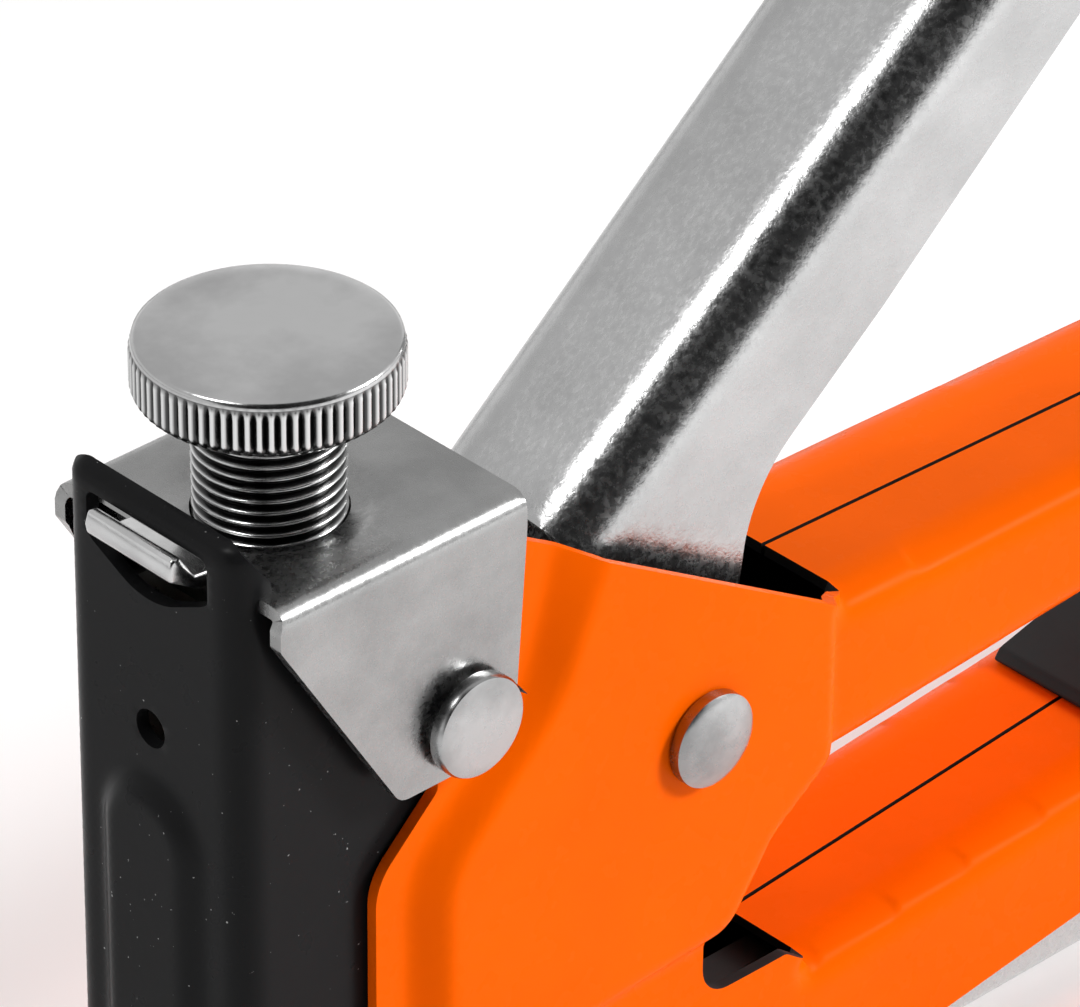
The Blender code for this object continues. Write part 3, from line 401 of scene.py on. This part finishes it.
def plated(name, colour, roughness, grain, grain_scale=1400, patch=0.25):
    """Plated steel with a fine grain in bump and roughness and soft cloudy patches."""
    made = new_material(name, colour, roughness, 1.0)
    tree = made.node_tree
    shader = tree.nodes["Principled BSDF"]
    clouds = noise(tree, 90, 5)
    dark = tuple(c * (1 - patch * 0.5) for c in colour)
    tree.links.new(ramp(tree, clouds, [(0.35, dark), (0.62, colour)]), shader.inputs["Base Color"])
    fine = noise(tree, grain_scale, 3)
    tree.links.new(spread(tree, fine, roughness * 0.75, roughness * 1.3), shader.inputs["Roughness"])
    tree.links.new(bump(tree, fine, grain, 0.00004), shader.inputs["Normal"])
    return made


def plated_with_groove_shade(name, deep, crest):
    """Bright plating with painted shade in the grooves, set by distance from the piece's Z axis."""
    made = plated(name, (0.62, 0.62, 0.62), 0.2, 0.3, 900)
    tree = made.node_tree
    place = tree.nodes.new("ShaderNodeTexCoord")
    flat = tree.nodes.new("ShaderNodeVectorMath")
    flat.operation = "MULTIPLY"
    flat.inputs[1].default_value = (1, 1, 0)
    away = tree.nodes.new("ShaderNodeVectorMath")
    away.operation = "LENGTH"
    tree.links.new(place.outputs["Object"], flat.inputs[0])
    tree.links.new(flat.outputs["Vector"], away.inputs[0])
    share = spread(tree, away.outputs["Value"], 0.0, 1.0, deep, crest)
    # Painted shade: near black at the grooves' bottom, bright plating at the crests.
    stops = [(0.0, (0.01, 0.01, 0.01)), (0.55, (0.08, 0.08, 0.08)), (0.95, (0.66, 0.66, 0.66))]
    shade = ramp(tree, share, stops)
    tree.links.new(shade, tree.nodes["Principled BSDF"].inputs["Base Color"])
    return made


def zinc_with_painted_shade(name, edge):
    """Zinc plate with painted shade: near black above a height, where the magazine's inside lies in shade.
    """
    made = plated(name, (0.7, 0.7, 0.7), 0.26, 0.25)
    tree = made.node_tree
    place = tree.nodes.new("ShaderNodeTexCoord")
    parts = tree.nodes.new("ShaderNodeSeparateXYZ")
    tree.links.new(place.outputs["Object"], parts.inputs["Vector"])
    share = spread(tree, parts.outputs["Z"], 0.0, 1.0, edge - 0.5 * MM, edge + 0.5 * MM)
    shade = ramp(tree, share, [(0.0, (0.7, 0.7, 0.7)), (1.0, (0.008, 0.008, 0.008))])
    tree.links.new(shade, tree.nodes["Principled BSDF"].inputs["Base Color"])
    return made


ORANGE = paint("orange_paint", (1.0, 0.125, 0.0), 0.27, 0.06, gloss=0.03, tint=(1.0, 0.42, 0.08))
BLACK = paint("black_paint", (0.009, 0.009, 0.0095), 0.3, 0.08, specks=0.75, gloss=0.07)
# Painted shade: the inside of the shells is coloured near black for the shade inside the body.
INSIDE_SHADE = paint("inside_painted_shade", (0.006, 0.005, 0.005), 0.7, 0.2)
BLACKED = paint("blackened_steel", (0.008, 0.008, 0.008), 0.5, 0.15)
NICKEL = plated("nickel", (0.38, 0.38, 0.378), 0.27, 0.3, patch=0.5)
CHROME = plated("chrome", (0.51, 0.51, 0.51), 0.25, 1.0, 1500, patch=0.3)
PIN = plated("pin_plate", (0.48, 0.48, 0.48), 0.24, 0.3, 700, patch=0.9)
BRIGHT = plated("bright_plate", (0.58, 0.58, 0.58), 0.2, 0.3, 900, patch=0.45)
KNURL = plated_with_groove_shade("knurl", 10.1 * MM, 10.5 * MM)
THREAD = plated_with_groove_shade("thread", 5.5 * MM, 6.0 * MM)
STEEL = plated("steel", (0.45, 0.44, 0.42), 0.36, 0.3)
ZINC = plated("zinc", (0.7, 0.7, 0.7), 0.26, 0.25)
# The channel's upper part is painted black as shade inside the magazine.
CHANNEL_PAINTED_SHADE = zinc_with_painted_shade("channel", 8.0 * MM)
PLASTIC = paint("black_plastic", (0.009, 0.009, 0.0095), 0.45, 0.25)
RUBBER = paint("rubber", (0.03, 0.03, 0.03), 0.75, 0.4)


# ------------------------------------------------------------------ shells

HANDLE_PIN = (33.8 * MM, 49.3 * MM)
FRONT_PIN = (8.4 * MM, 62.3 * MM)

# Outlines as (x, z, corner radius) in millimetres. The right shell's front ear is lower than the left's.
EAR_TOP = 76.3
FAR_EAR_TOP = 72.6
BODY_EDGE = [
    (0.3, 2.2, 0), (0.3, 49.6, 5), (7.4, 56.2, 1), (3.6, 58.6, 1), (3.6, 68.2, 4), (13.0, EAR_TOP, 1),
    (51.2, 53.35, 1.2), (53.2, 52.5, 0),
]
DOOR_TOP = 17.9
BODY_FLANGED = [(53.2, 52.5, 0), (158.0, 49.2, 9), (158.0, DOOR_TOP, 0)]
BODY_UNDER = [(158.0, DOOR_TOP, 0), (158.0, 9.3, 0), (84, 7.2, 30), (44, 2.2, 30), (0.3, 2.2, 0)]
OPENING_FLANGED = [
    (50.2, 17.5, 0), (133, 24.0, 9), (133, 42.6, 7), (51.6, 37.3, 1.5), (44.6, 33.4, 8),
    (41.9, 30.4, 0),
]
OPENING_RELIEF = [
    (41.9, 30.4, 0), (36.9, 28.0, 2), (36.9, 20.3, 3), (44.2, 20.2, 2.5), (46.6, 20.2, 0.8),
    (50.2, 17.5, 0),
]
PANEL_TOP = [
    (6.8, 27.4, 3), (6.8, 48.2, 7), (18.6, 59.8, 12), (23.8, 72.0, 2), (23.8, 90, 0), (48.0, 90, 0),
    (48.0, 40.6, 2.5), (41.6, 36.2, 8), (36.8, 29.4, 3),
]
PANEL_BASE = [
    (3.2, 24.0, 5), (3.2, 49.6, 9), (15.3, 61.0, 12), (18.8, 74.2, 3), (18.8, 90, 0), (51.0, 90, 0),
    (51.0, 38.9, 4), (44.0, 33.5, 9), (39.4, 25.8, 5),
]


def side_height(points, flanged):
    """Half-width of the shell's outer skin at each (x, z): bar, panel, the ramp between, and shoulders."""
    x = points[:, 0]
    level = RIM + (BAR - RIM) * smooth(19 * MM, 27 * MM, x)
    base = signed(points, rounded(PANEL_BASE))
    top = signed(points, rounded(PANEL_TOP))
    share = np.clip(-base / np.maximum(-base + np.maximum(top, 0), 1e-9), 0, 1)
    soft = 0.16
    eased = np.where(share < soft, share**2 / (2 * soft), share - soft / 2)
    eased = np.where(share > 1 - soft, 1 - soft - (1 - share) ** 2 / (2 * soft), eased)
    eased = np.clip(eased / (1 - soft), 0, 1)
    level = level + (PANEL - level) * eased
    for path in flanged:
        near = np.clip(1 - distance_to(points, path, False) / SHOULDER, 0, 1)
        level = level - SHOULDER * (1 - np.sqrt(1 - near**2))
    return level


def flange_strip(path, side):
    """Adds the folded flange along part of an outline, from the shoulder to the seam."""
    shifts = [(0, 0), (1, 0), (-1, 0), (0, 1), (0, -1), (1, 1), (-1, -1), (1, -1), (-1, 1)]

    def add(mesh, verts, points):
        index = {tuple(np.round(p * 1e7).astype(int)): v for p, v in zip(points, verts)}
        line = []
        for spot in path:
            key = tuple(np.round(np.array(spot) * 1e7).astype(int))
            for shift in shifts:
                found = index.get((key[0] + shift[0], key[1] + shift[1]))
                if found:
                    line.append(found)
                    break
        rows = [line]
        for share in (0.25, 0.5, 0.75, 1.0):
            row = []
            for vert in line:
                depth = abs(vert.co.y)
                y = side * (depth + (SEAM - depth) * share)
                row.append(mesh.verts.new((vert.co.x, y, vert.co.z)))
            rows.append(row)
        for upper, lower in zip(rows, rows[1:]):
            for i in range(len(line) - 1):
                mesh.faces.new((upper[i], upper[i + 1], lower[i + 1], lower[i]))

    return add


def shell(name, side, node):
    """One half body: side -1 is the left shell, 1 the right."""
    step = 0.6 * MM
    top_flange = rounded(BODY_FLANGED, step, closed=False)
    ear = EAR_TOP if side < 0 else FAR_EAR_TOP
    edge = rounded([(x, ear if z == EAR_TOP else z, r) for x, z, r in BODY_EDGE], step, closed=False)
    under = rounded(BODY_UNDER, step, closed=False)
    outer = edge[:-1] + top_flange[:-1] + under[:-1]
    window_flange = rounded(OPENING_FLANGED, step, closed=False)
    relief = rounded(OPENING_RELIEF, step, closed=False)
    window = window_flange[:-1] + relief[:-1]
    holes = [ring(*HANDLE_PIN, 3.25 * MM, 32), ring(*FRONT_PIN, 2.75 * MM, 32)]

    def shape(points):
        height = side_height(points, [top_flange, window_flange])
        return np.column_stack([points[:, 0], side * height, points[:, 1]])

    strips = [flange_strip(top_flange, side), flange_strip(window_flange, side)]
    obj = skin(name, [outer, window] + holes, shape, 0.8 * MM, SHEET, "body", ORANGE,
               (0, side, 0), 0, strips, INSIDE_SHADE)
    colour_cut_edges(obj)
    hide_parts(node)
    return obj


# Where cut edges get painted shade: the relief window in the lower bar and the notch at the upper bar's
# front end.
RELIEF_SPAN = ((36 * MM, 52 * MM), (15 * MM, 32 * MM))
NOTCH_SPAN = ((52.6 * MM, 54 * MM), (48 * MM, 90 * MM))
SEAM_REACH = 0.5 * MM


def within(span, x, z):
    (x_low, x_high), (z_low, z_high) = span
    return x_low < x < x_high and z_low < z < z_high


def colour_cut_edges(obj):
    """Cut edges are orange like the outside, but take the near-black painted shade in the seam and at the
    two openings in the bars.
    """
    outside, inner, rim = range(3)
    for polygon in obj.data.polygons:
        if polygon.material_index < rim:
            continue
        x, y, z = polygon.center
        # Painted shade: cut edges in the seam and in the two openings take the near-black inside material.
        dark = within(RELIEF_SPAN, x, z) or within(NOTCH_SPAN, x, z) or abs(y) < SEAM_REACH
        polygon.material_index = inner if dark else outside


# -------------------------------------------------------------- nose plate

NOSE_HALF = 10.15 * MM
NOSE_FRONT = -12.3 * MM
NOSE_BEND = 2.6 * MM
NOSE_TOP = 84.5 * MM
NOSE_LIP = 1.5 * MM
SIGHT_HEIGHT = 64.4 * MM
SIGHT_RADIUS = 1.65 * MM
RIB_HEIGHT = 1.15 * MM


def nose_plate():
    """The black channel, from its flat pattern: front, two flanks and the lip rolled back at the top."""
    flat = NOSE_HALF - NOSE_BEND
    around = NOSE_BEND * math.pi / 2

    def reach(x):
        return flat + around + (x * MM - NOSE_FRONT - NOSE_BEND)

    top = NOSE_TOP - NOSE_LIP + NOSE_LIP * math.pi / 2
    end = reach(3.0) / MM
    deep = reach(9.5) / MM
    lip = top / MM
    corner = (flat + around) / MM
    pattern = [
        (-end, 0.4, 0), (end, 0.4, 0), (end, 50, 2), (deep, 55, 2), (deep, 66, 3), (reach(2.0) / MM, 74, 2),
        (reach(-8.8) / MM, 80.0, 1), (corner + 0.9, lip - 4.4, 2.0), (corner - 2.6, lip, 2.2),
        (-corner + 2.6, lip, 2.2), (-corner - 0.9, lip - 4.4, 2.0), (-reach(-8.8) / MM, 80.0, 1),
        (-reach(2.0) / MM, 74, 2), (-deep, 66, 3), (-deep, 55, 2), (-end, 50, 2),
    ]
    slot = rounded([(-6.9, 82.7, 0.8), (6.9, 82.7, 0.8), (6.9, 78.9, 0.5), (6.2, 78.4, 1), (0, 75.4, 16),
                    (-6.2, 78.4, 1), (-6.9, 78.9, 0.5)], 0.3 * MM)
    sight = ring(0, SIGHT_HEIGHT, SIGHT_RADIUS, 28)
    rib = rounded([(-4.3, -9, 2), (4.3, -9, 2), (4.3, 58.5, 4.2), (-4.3, 58.5, 4.2)])

    def shape(points):
        s, v = points[:, 0], points[:, 1]
        width = np.abs(s)
        angle = np.clip((width - flat) / NOSE_BEND, 0, math.pi / 2)
        beyond = np.maximum(width - flat - around, 0)
        y = np.minimum(width, flat) + NOSE_BEND * np.sin(angle)
        x = NOSE_FRONT + NOSE_BEND * (1 - np.cos(angle)) + beyond
        rise = np.clip((v - (NOSE_TOP - NOSE_LIP)) / NOSE_LIP, 0, math.pi / 2)
        z = np.minimum(v, NOSE_TOP - NOSE_LIP) + NOSE_LIP * np.sin(rise)
        inward = NOSE_LIP * (1 - np.cos(rise))
        x = x + inward * np.cos(angle)
        y = y - inward * np.sin(angle)
        raised = smooth(1.9 * MM, -0.6 * MM, signed(points, rib))
        x = x - RIB_HEIGHT * raised * (width < flat)
        return np.column_stack([x, np.sign(s) * y, z])

    outline = rounded(pattern, 0.5 * MM)
    obj = skin("nose", [outline, slot, sight], shape, 0.7 * MM, PLATE_SHEET, "body", BLACK,
               (-1, 0, 0))
    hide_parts("nose_plate")
    return obj


# --------------------------------------------------------------------- cap

CAP_HALF = 12.95 * MM
CAP_TOP = 80.0 * MM
CAP_BEND = 1.5 * MM
CAP_HOLE = 6.15 * MM
CAP_DISH = 0.75 * MM


def cap():
    """The plate folded over the nose, dished round the screw's hole."""
    flat = CAP_HALF - CAP_BEND
    around = CAP_BEND * math.pi / 2

    def down(z):
        return (flat + around + (CAP_TOP - CAP_BEND) - z * MM) / MM

    half = [
        (-10.0, down(79.4), 0.5), (-10.4, down(78.2), 0), (-10.4, down(76.7), 0.6), (1.5, down(57.7), 1.6),
        (13.3, down(57.7), 4.5), (14.6, down(77.0), 0), (14.6, down(80.2), 0),
    ]
    outline = rounded(half + [(x, -s, r) for x, s, r in reversed(half)], 0.5 * MM)
    hole = ring(0, 0, CAP_HOLE, 64)
    pin_s = flat + around + CAP_TOP - CAP_BEND - FRONT_PIN[1]
    pin = [ring(FRONT_PIN[0], sign * pin_s, 2.7 * MM, 28) for sign in (-1, 1)]

    def shape(points):
        x, s = points[:, 0], points[:, 1]
        width = np.abs(s)
        angle = np.clip((width - flat) / CAP_BEND, 0, math.pi / 2)
        beyond = np.maximum(width - flat - around, 0)
        y = np.minimum(width, flat) + CAP_BEND * np.sin(angle)
        z = CAP_TOP - CAP_BEND * (1 - np.cos(angle)) - beyond
        away = np.hypot(x, s)
        z = z - CAP_DISH * smooth(8.8 * MM, 6.3 * MM, away) * (width < flat)
        return np.column_stack([x, np.sign(s) * y, z])

    obj = skin("cap", [outline, hole] + pin, shape, 0.6 * MM, PLATE_SHEET, "body", NICKEL,
               (0, 0, 1))
    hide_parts("top_cap")
    return obj


def cap_tongue():
    """The tab bent up from the cap's front edge, through the slot in the nose plate."""
    half_width = 4.9
    section = [
        (-9.6, 78.9), (-11.2, 78.8), (-14.1, 80.6), (-14.25, 81.5), (-13.9, 82.5), (-13.1, 82.5),
        (-11.7, 80.3), (-9.6, 80.15),
    ]
    mesh = bmesh.new()
    rows = []
    for y in (-half_width, half_width):
        rows.append([mesh.verts.new((x * MM, y * MM, z * MM)) for x, z in section])
    count = len(section)
    for i in range(count):
        j = (i + 1) % count
        mesh.faces.new((rows[0][i], rows[0][j], rows[1][j], rows[1][i]))
    mesh.faces.new(rows[0])
    mesh.faces.new(rows[1])
    bmesh.ops.recalc_face_normals(mesh, faces=mesh.faces)
    data = bpy.data.meshes.new("cap_tongue")
    mesh.to_mesh(data)
    mesh.free()
    obj = piece("cap_tongue", data, "body", BRIGHT)
    edge = obj.modifiers.new("edge", "BEVEL")
    edge.width = 0.28 * MM
    edge.segments = 3
    edge.limit_method = "ANGLE"
    return finish_mesh(obj)


# --------------------------------------------------------------- knob


def knob():
    """The head: flat top with a turned edge over a knurled band of pointed teeth."""
    bottom = 89.6 * MM
    tooth_depth = 0.42 * MM
    band_top = bottom + 4.3 * MM
    band_inside = 10.0 * MM
    teeth = 72
    per_tooth = 8
    count = teeth * per_tooth
    around = np.arange(count) * 2 * math.pi / count
    groove = np.abs(((np.arange(count) % per_tooth) / per_tooth) - 0.5) * 2
    groove = np.clip(groove * 1.25, 0, 1)
    profile = [
        (0.0, 4.84, 0), (4.0, 4.86, 0), (8.6, 4.9, 0), (9.9, 4.9, 0), (10.22, 4.78, 0), (10.32, 4.5, 0),
        (10.34, 4.3, 0), (10.40, 4.1, 0.25), (10.5, 3.8, 0.8), (10.5, 3.4, 1.0), (10.5, 1.6, 1.0),
        (10.5, 1.0, 0.9), (10.3, 0.5, 0.5), (9.9, 0.12, 0.15), (9.5, 0.0, 0), (6.0, 0.0, 0), (0.0, 0.0, 0),
    ]
    mesh = bmesh.new()
    rings = []
    for r, z, depth in profile:
        height = bottom + z * MM
        if r == 0:
            rings.append([mesh.verts.new((0, 0, height))])
            continue
        reach = r * MM - depth * tooth_depth * (1 - groove)
        spots = zip(reach * np.cos(around), reach * np.sin(around))
        rings.append([mesh.verts.new((x, y, height)) for x, y in spots])
    join_rings(mesh, rings, count)
    data = bpy.data.meshes.new("knob_head")
    mesh.to_mesh(data)
    mesh.free()
    head = piece("knob_head", data, "knob", BRIGHT)
    data.materials.append(KNURL)
    for polygon in data.polygons:
        centre = polygon.center
        if math.hypot(centre.x, centre.y) > band_inside and centre.z < band_top:
            polygon.material_index = 1
    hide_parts("adjuster_knob")
    return finish_mesh(head, 50)


def thread():
    """The screw under the knob, its ridge running round in a helix of 1 mm pitch."""
    radius = 6.0 * MM
    pitch = 1.0 * MM
    depth = 0.55 * MM
    top = 89.8 * MM
    bottom = 76.0 * MM
    around = 96
    rows = int(round((top - bottom) / (0.08 * MM)))
    z = np.linspace(top, bottom, rows + 1)
    points = []
    for height in z:
        for i in range(around):
            angle = 2 * math.pi * i / around
            phase = ((height - bottom) / pitch - i / around) % 1.0
            ridge = np.clip(1.25 - abs(phase - 0.5) * 3.3, 0, 1)
            r = radius - depth * (1 - ridge)
            points.append((r * math.cos(angle), r * math.sin(angle), height))
    faces = []
    for j in range(rows):
        for i in range(around):
            k = (i + 1) % around
            high, low = j * around, (j + 1) * around
            faces.append((high + i, low + i, low + k, high + k))
    faces.append(tuple(range(around)))
    faces.append(tuple(rows * around + i for i in reversed(range(around))))
    stem = mesh_object("knob_thread", points, faces, "knob", THREAD)
    profile = [
        (0, 76.2 * MM), (4 * MM, 76.2 * MM), (4 * MM, 68.8 * MM), (3.5 * MM, 68.3 * MM), (0, 68.3 * MM),
    ]
    pilot = lathe("knob_pilot", profile, (0, 0, 0), "Z", 48, "knob", BRIGHT)
    return finish_mesh(stem, 60), pilot


# ---------------------------------------------------------------- pins


# Along a pin's axis: the face of its head, and the start and end of the tail's chamfer
PIN_FACE = 14.8 * MM
TAIL_START = -15.3 * MM
TAIL_END = -15.6 * MM


def front_pin():
    """A flat head on a collar, with a thinner shank."""
    head = 4.4 * MM
    collar = 3.4 * MM
    shank = 2.5 * MM
    profile = [
        (0, PIN_FACE), (head - 0.55 * MM, PIN_FACE), (head - 0.18 * MM, PIN_FACE - 0.1 * MM),
        (head, PIN_FACE - 0.42 * MM), (head, PIN_FACE - 1.2 * MM), (collar, PIN_FACE - 1.25 * MM),
        (collar, 13.05 * MM), (shank, 13.05 * MM), (shank, TAIL_START), (2.2 * MM, TAIL_END),
        (0, TAIL_END),
    ]
    place = (FRONT_PIN[0], 0, FRONT_PIN[1])
    obj = lathe("front_pin_fine", profile, place, "Y", 96, "body", PIN)
    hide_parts("front_pin")
    return obj


def handle_pin():
    """A domed head on a straight shank."""
    head = 4.15 * MM
    shank = 3.0 * MM
    dome = []
    for degrees in (0, 12, 25, 38, 50, 62, 74, 83):
        angle = math.radians(degrees)
        height = PIN_FACE - 0.35 * MM + 0.75 * MM * (math.cos(angle) ** 1.5)
        dome.append((head * math.sin(angle), height))
    profile = dome + [
        (head, PIN_FACE - 0.5 * MM), (head, PIN_FACE - 1.25 * MM), (shank, PIN_FACE - 1.25 * MM),
        (shank, TAIL_START), (2.7 * MM, TAIL_END), (0, TAIL_END),
    ]
    place = (HANDLE_PIN[0], 0, HANDLE_PIN[1])
    obj = lathe("handle_pin_fine", profile, place, "Y", 96, "body", PIN)
    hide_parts("handle_pin")
    return obj


# --------------------------------------------------------------- lever

LEVER_SLOPE = math.radians(38.3)
LEVER_ROOT = (23.0 * MM, 69.9 * MM)
LEVER_SHOULDER = 5.0 * MM
LEVER_LENGTH = 128.0
WAVE_HEIGHT = 0.045
WAVE_LENGTH = 5.2 * MM
WAVE_DRIFT = 11 * MM


def lever_run(x, z):
    """How far along the lever's top a point is."""
    return (x - LEVER_ROOT[0]) * math.cos(LEVER_SLOPE) + (z - LEVER_ROOT[1]) * math.sin(LEVER_SLOPE)


def lever_drop(x, z):
    """How far below the lever's top a point is."""
    return (x - LEVER_ROOT[0]) * math.sin(LEVER_SLOPE) - (z - LEVER_ROOT[1]) * math.cos(LEVER_SLOPE)


def lever_half(run):
    """Half the lever's width, which grows towards its end."""
    return 8.8 * MM + 2.2 * MM * np.clip(run / (LEVER_LENGTH * MM), -0.3, 1)


def shoulder_wave(run):
    """The slight unevenness of the lever's shoulder, as a turn in radians."""
    return WAVE_HEIGHT * np.sin(run / WAVE_LENGTH + 1.7 * np.sin(run / WAVE_DRIFT))


def lever():
    """The folded channel, from its flat pattern: top strip, two bends and two shaped side plates."""
    flat = 3.8 * MM
    bend = LEVER_SHOULDER
    around = bend * math.pi / 2
    side_view = [
        (56.6, 78.0, 14), (42.6, 66.4, 14), (40.4, 48.3, 5), (31.8, 41.8, 6), (9.8, 36.2, 2), (5.6, 40.4, 2),
        (11.2, 43.6, 2), (25.4, 53.0, 8),
    ]
    plate = [(LEVER_LENGTH, 9.5, 3), (66.0, 12.2, 60)]
    for x, z, r in side_view:
        plate.append((lever_run(x * MM, z * MM) / MM, lever_drop(x * MM, z * MM) / MM, r))
    plate.append((-0.4, 6.0, 3))
    start = (flat + around - bend) / MM
    half = [(u, v + start, r) for u, v, r in plate]
    front = [(0.0, flat / MM, 3)]
    pattern = half + front + [(u, -v, r) for u, v, r in reversed(half + front)]
    outline = rounded(pattern, 0.6 * MM)
    pin_u = lever_run(*HANDLE_PIN)
    pin_v = lever_drop(*HANDLE_PIN) + start * MM
    holes = [ring(pin_u, sign * pin_v, 3.25 * MM, 32) for sign in (-1, 1)]

    def shape(points):
        u, s = points[:, 0], points[:, 1]
        width = np.abs(s)
        angle = np.clip((width - flat) / bend, 0, math.pi / 2)
        angle = angle + shoulder_wave(u) * np.sin(2 * angle)
        y = np.minimum(width, flat) / flat * (lever_half(u) - bend) + bend * np.sin(angle)
        drop = bend * (1 - np.cos(angle)) + np.maximum(width - flat - around, 0)
        x = LEVER_ROOT[0] + u * math.cos(LEVER_SLOPE) + drop * math.sin(LEVER_SLOPE)
        z = LEVER_ROOT[1] + u * math.sin(LEVER_SLOPE) - drop * math.cos(LEVER_SLOPE)
        return np.column_stack([x, np.sign(s) * y, z])

    obj = skin("lever", [outline] + holes, shape, 0.9 * MM, PLATE_SHEET, "lever", CHROME,
               (-math.sin(LEVER_SLOPE), 0, math.cos(LEVER_SLOPE)), 0.25 * MM)
    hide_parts("handle_lever")
    return obj


# ---------------------------------------------------- nodes that keep their shape

NODE_LOOKS = {
    "adjuster_nut": STEEL, "spring_seat": STEEL, "main_spring": STEEL, "striker_block": STEEL,
    "driver_blade": STEEL, "striker_bumper": RUBBER, "inner_frame": STEEL, "lifting_claw": STEEL,
    "claw_pin": STEEL, "handle_pin_ring": STEEL, "front_pin_ring": STEEL, "return_spring": STEEL,
    "magazine_channel": CHANNEL_PAINTED_SHADE, "staple_rail": BLACKED, "staple_strip": ZINC, "pusher": BLACKED,
    "pusher_spring": STEEL, "guide_rod": STEEL, "rail_end_plug": PLASTIC, "magazine_latch": PLASTIC,
    "latch_pin": ZINC, "latch_spring": STEEL, "grip_insert": PLASTIC, "middle_rivet": ZINC,
    "rear_rivet": ZINC,
}


def dress_nodes():
    """Gives each node that is shown as it is packed its finish."""
    for name, look in NODE_LOOKS.items():
        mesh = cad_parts[name].data
        for slot in range(len(mesh.materials)):
            mesh.materials[slot] = look
        if not mesh.materials:
            mesh.materials.append(look)


# ------------------------------------------------------------------- stage

DARK_SIDE = (-0.42, -0.74, 0.52)


def stage():
    bpy.ops.mesh.primitive_plane_add(size=6, location=(0, 0, cad_box[0][2]))
    floor = bpy.context.object
    floor.name = "floor"
    floor.data.materials.append(new_material("floor", (0.95, 0.95, 0.95), 0.8))


def surroundings():
    """A pale wall all round, a grey ceiling, and a dark corner above the left front."""
    world = bpy.data.worlds.new("studio")
    bpy.context.scene.world = world
    world.use_nodes = True
    tree = world.node_tree
    place = tree.nodes.new("ShaderNodeTexCoord")
    parts = tree.nodes.new("ShaderNodeSeparateXYZ")
    tree.links.new(place.outputs["Generated"], parts.inputs["Vector"])
    stops = [(0.2, (1.0, 1.0, 1.0)), (0.42, (0.72, 0.72, 0.72)), (1.0, (0.74, 0.74, 0.74))]
    wall = ramp(tree, parts.outputs["Z"], stops)
    towards = tree.nodes.new("ShaderNodeVectorMath")
    towards.operation = "DOT_PRODUCT"
    towards.inputs[1].default_value = DARK_SIDE
    tree.links.new(place.outputs["Generated"], towards.inputs[0])
    corner = ramp(tree, towards.outputs["Value"], [(0.5, (1.0, 1.0, 1.0)), (0.7, (0.02, 0.02, 0.02))])
    both = tree.nodes.new("ShaderNodeMix")
    both.data_type = "RGBA"
    both.blend_type = "MULTIPLY"
    both.inputs["Factor"].default_value = 1.0
    tree.links.new(wall, both.inputs["A"])
    tree.links.new(corner, both.inputs["B"])
    tree.links.new(both.outputs["Result"], tree.nodes["Background"].inputs["Color"])


def area_light(name, place, target, size, power):
    """A square light that faces the target."""
    data = bpy.data.lights.new(name, "AREA")
    data.energy = power
    data.size = size
    light = bpy.data.objects.new(name, data)
    bpy.context.scene.collection.objects.link(light)
    light.location = place
    light.rotation_euler = (Vector(target) - Vector(place)).to_track_quat("-Z", "Y").to_euler()


def lights():
    focus = (0.02, 0, 0.07)
    area_light("top", (-0.40, 0.09, 0.74), focus, 0.2, 2.2)
    area_light("right", (0.62, -0.57, 0.52), focus, 0.25, 8)


def camera():
    data = bpy.data.cameras.new("camera")
    data.sensor_fit = "HORIZONTAL"
    data.sensor_width = 36.0
    data.lens = 259.6
    data.clip_start = 0.01
    data.clip_end = 20
    view = bpy.data.objects.new("camera", data)
    bpy.context.scene.collection.objects.link(view)
    yaw, pitch, roll = math.radians(43.41), math.radians(32.51), math.radians(0.49)
    view.location = (-0.3267, -0.3751, 0.3963)
    heading = Matrix.Rotation(-yaw, 3, "Z")
    tilt = Matrix.Rotation(math.pi / 2 - pitch, 3, "X")
    view.rotation_euler = (heading @ tilt @ Matrix.Rotation(roll, 3, "Z")).to_euler()
    bpy.context.scene.camera = view


shell("shell_left", -1, "left_shell")
shell("shell_right", 1, "right_shell")
nose_plate()
cap()
cap_tongue()
knob()
thread()
front_pin()
handle_pin()
lever()
dress_nodes()
stage()
surroundings()
lights()
camera()
bpy.context.scene.view_settings.view_transform = "Standard"
bpy.context.view_layer.update()
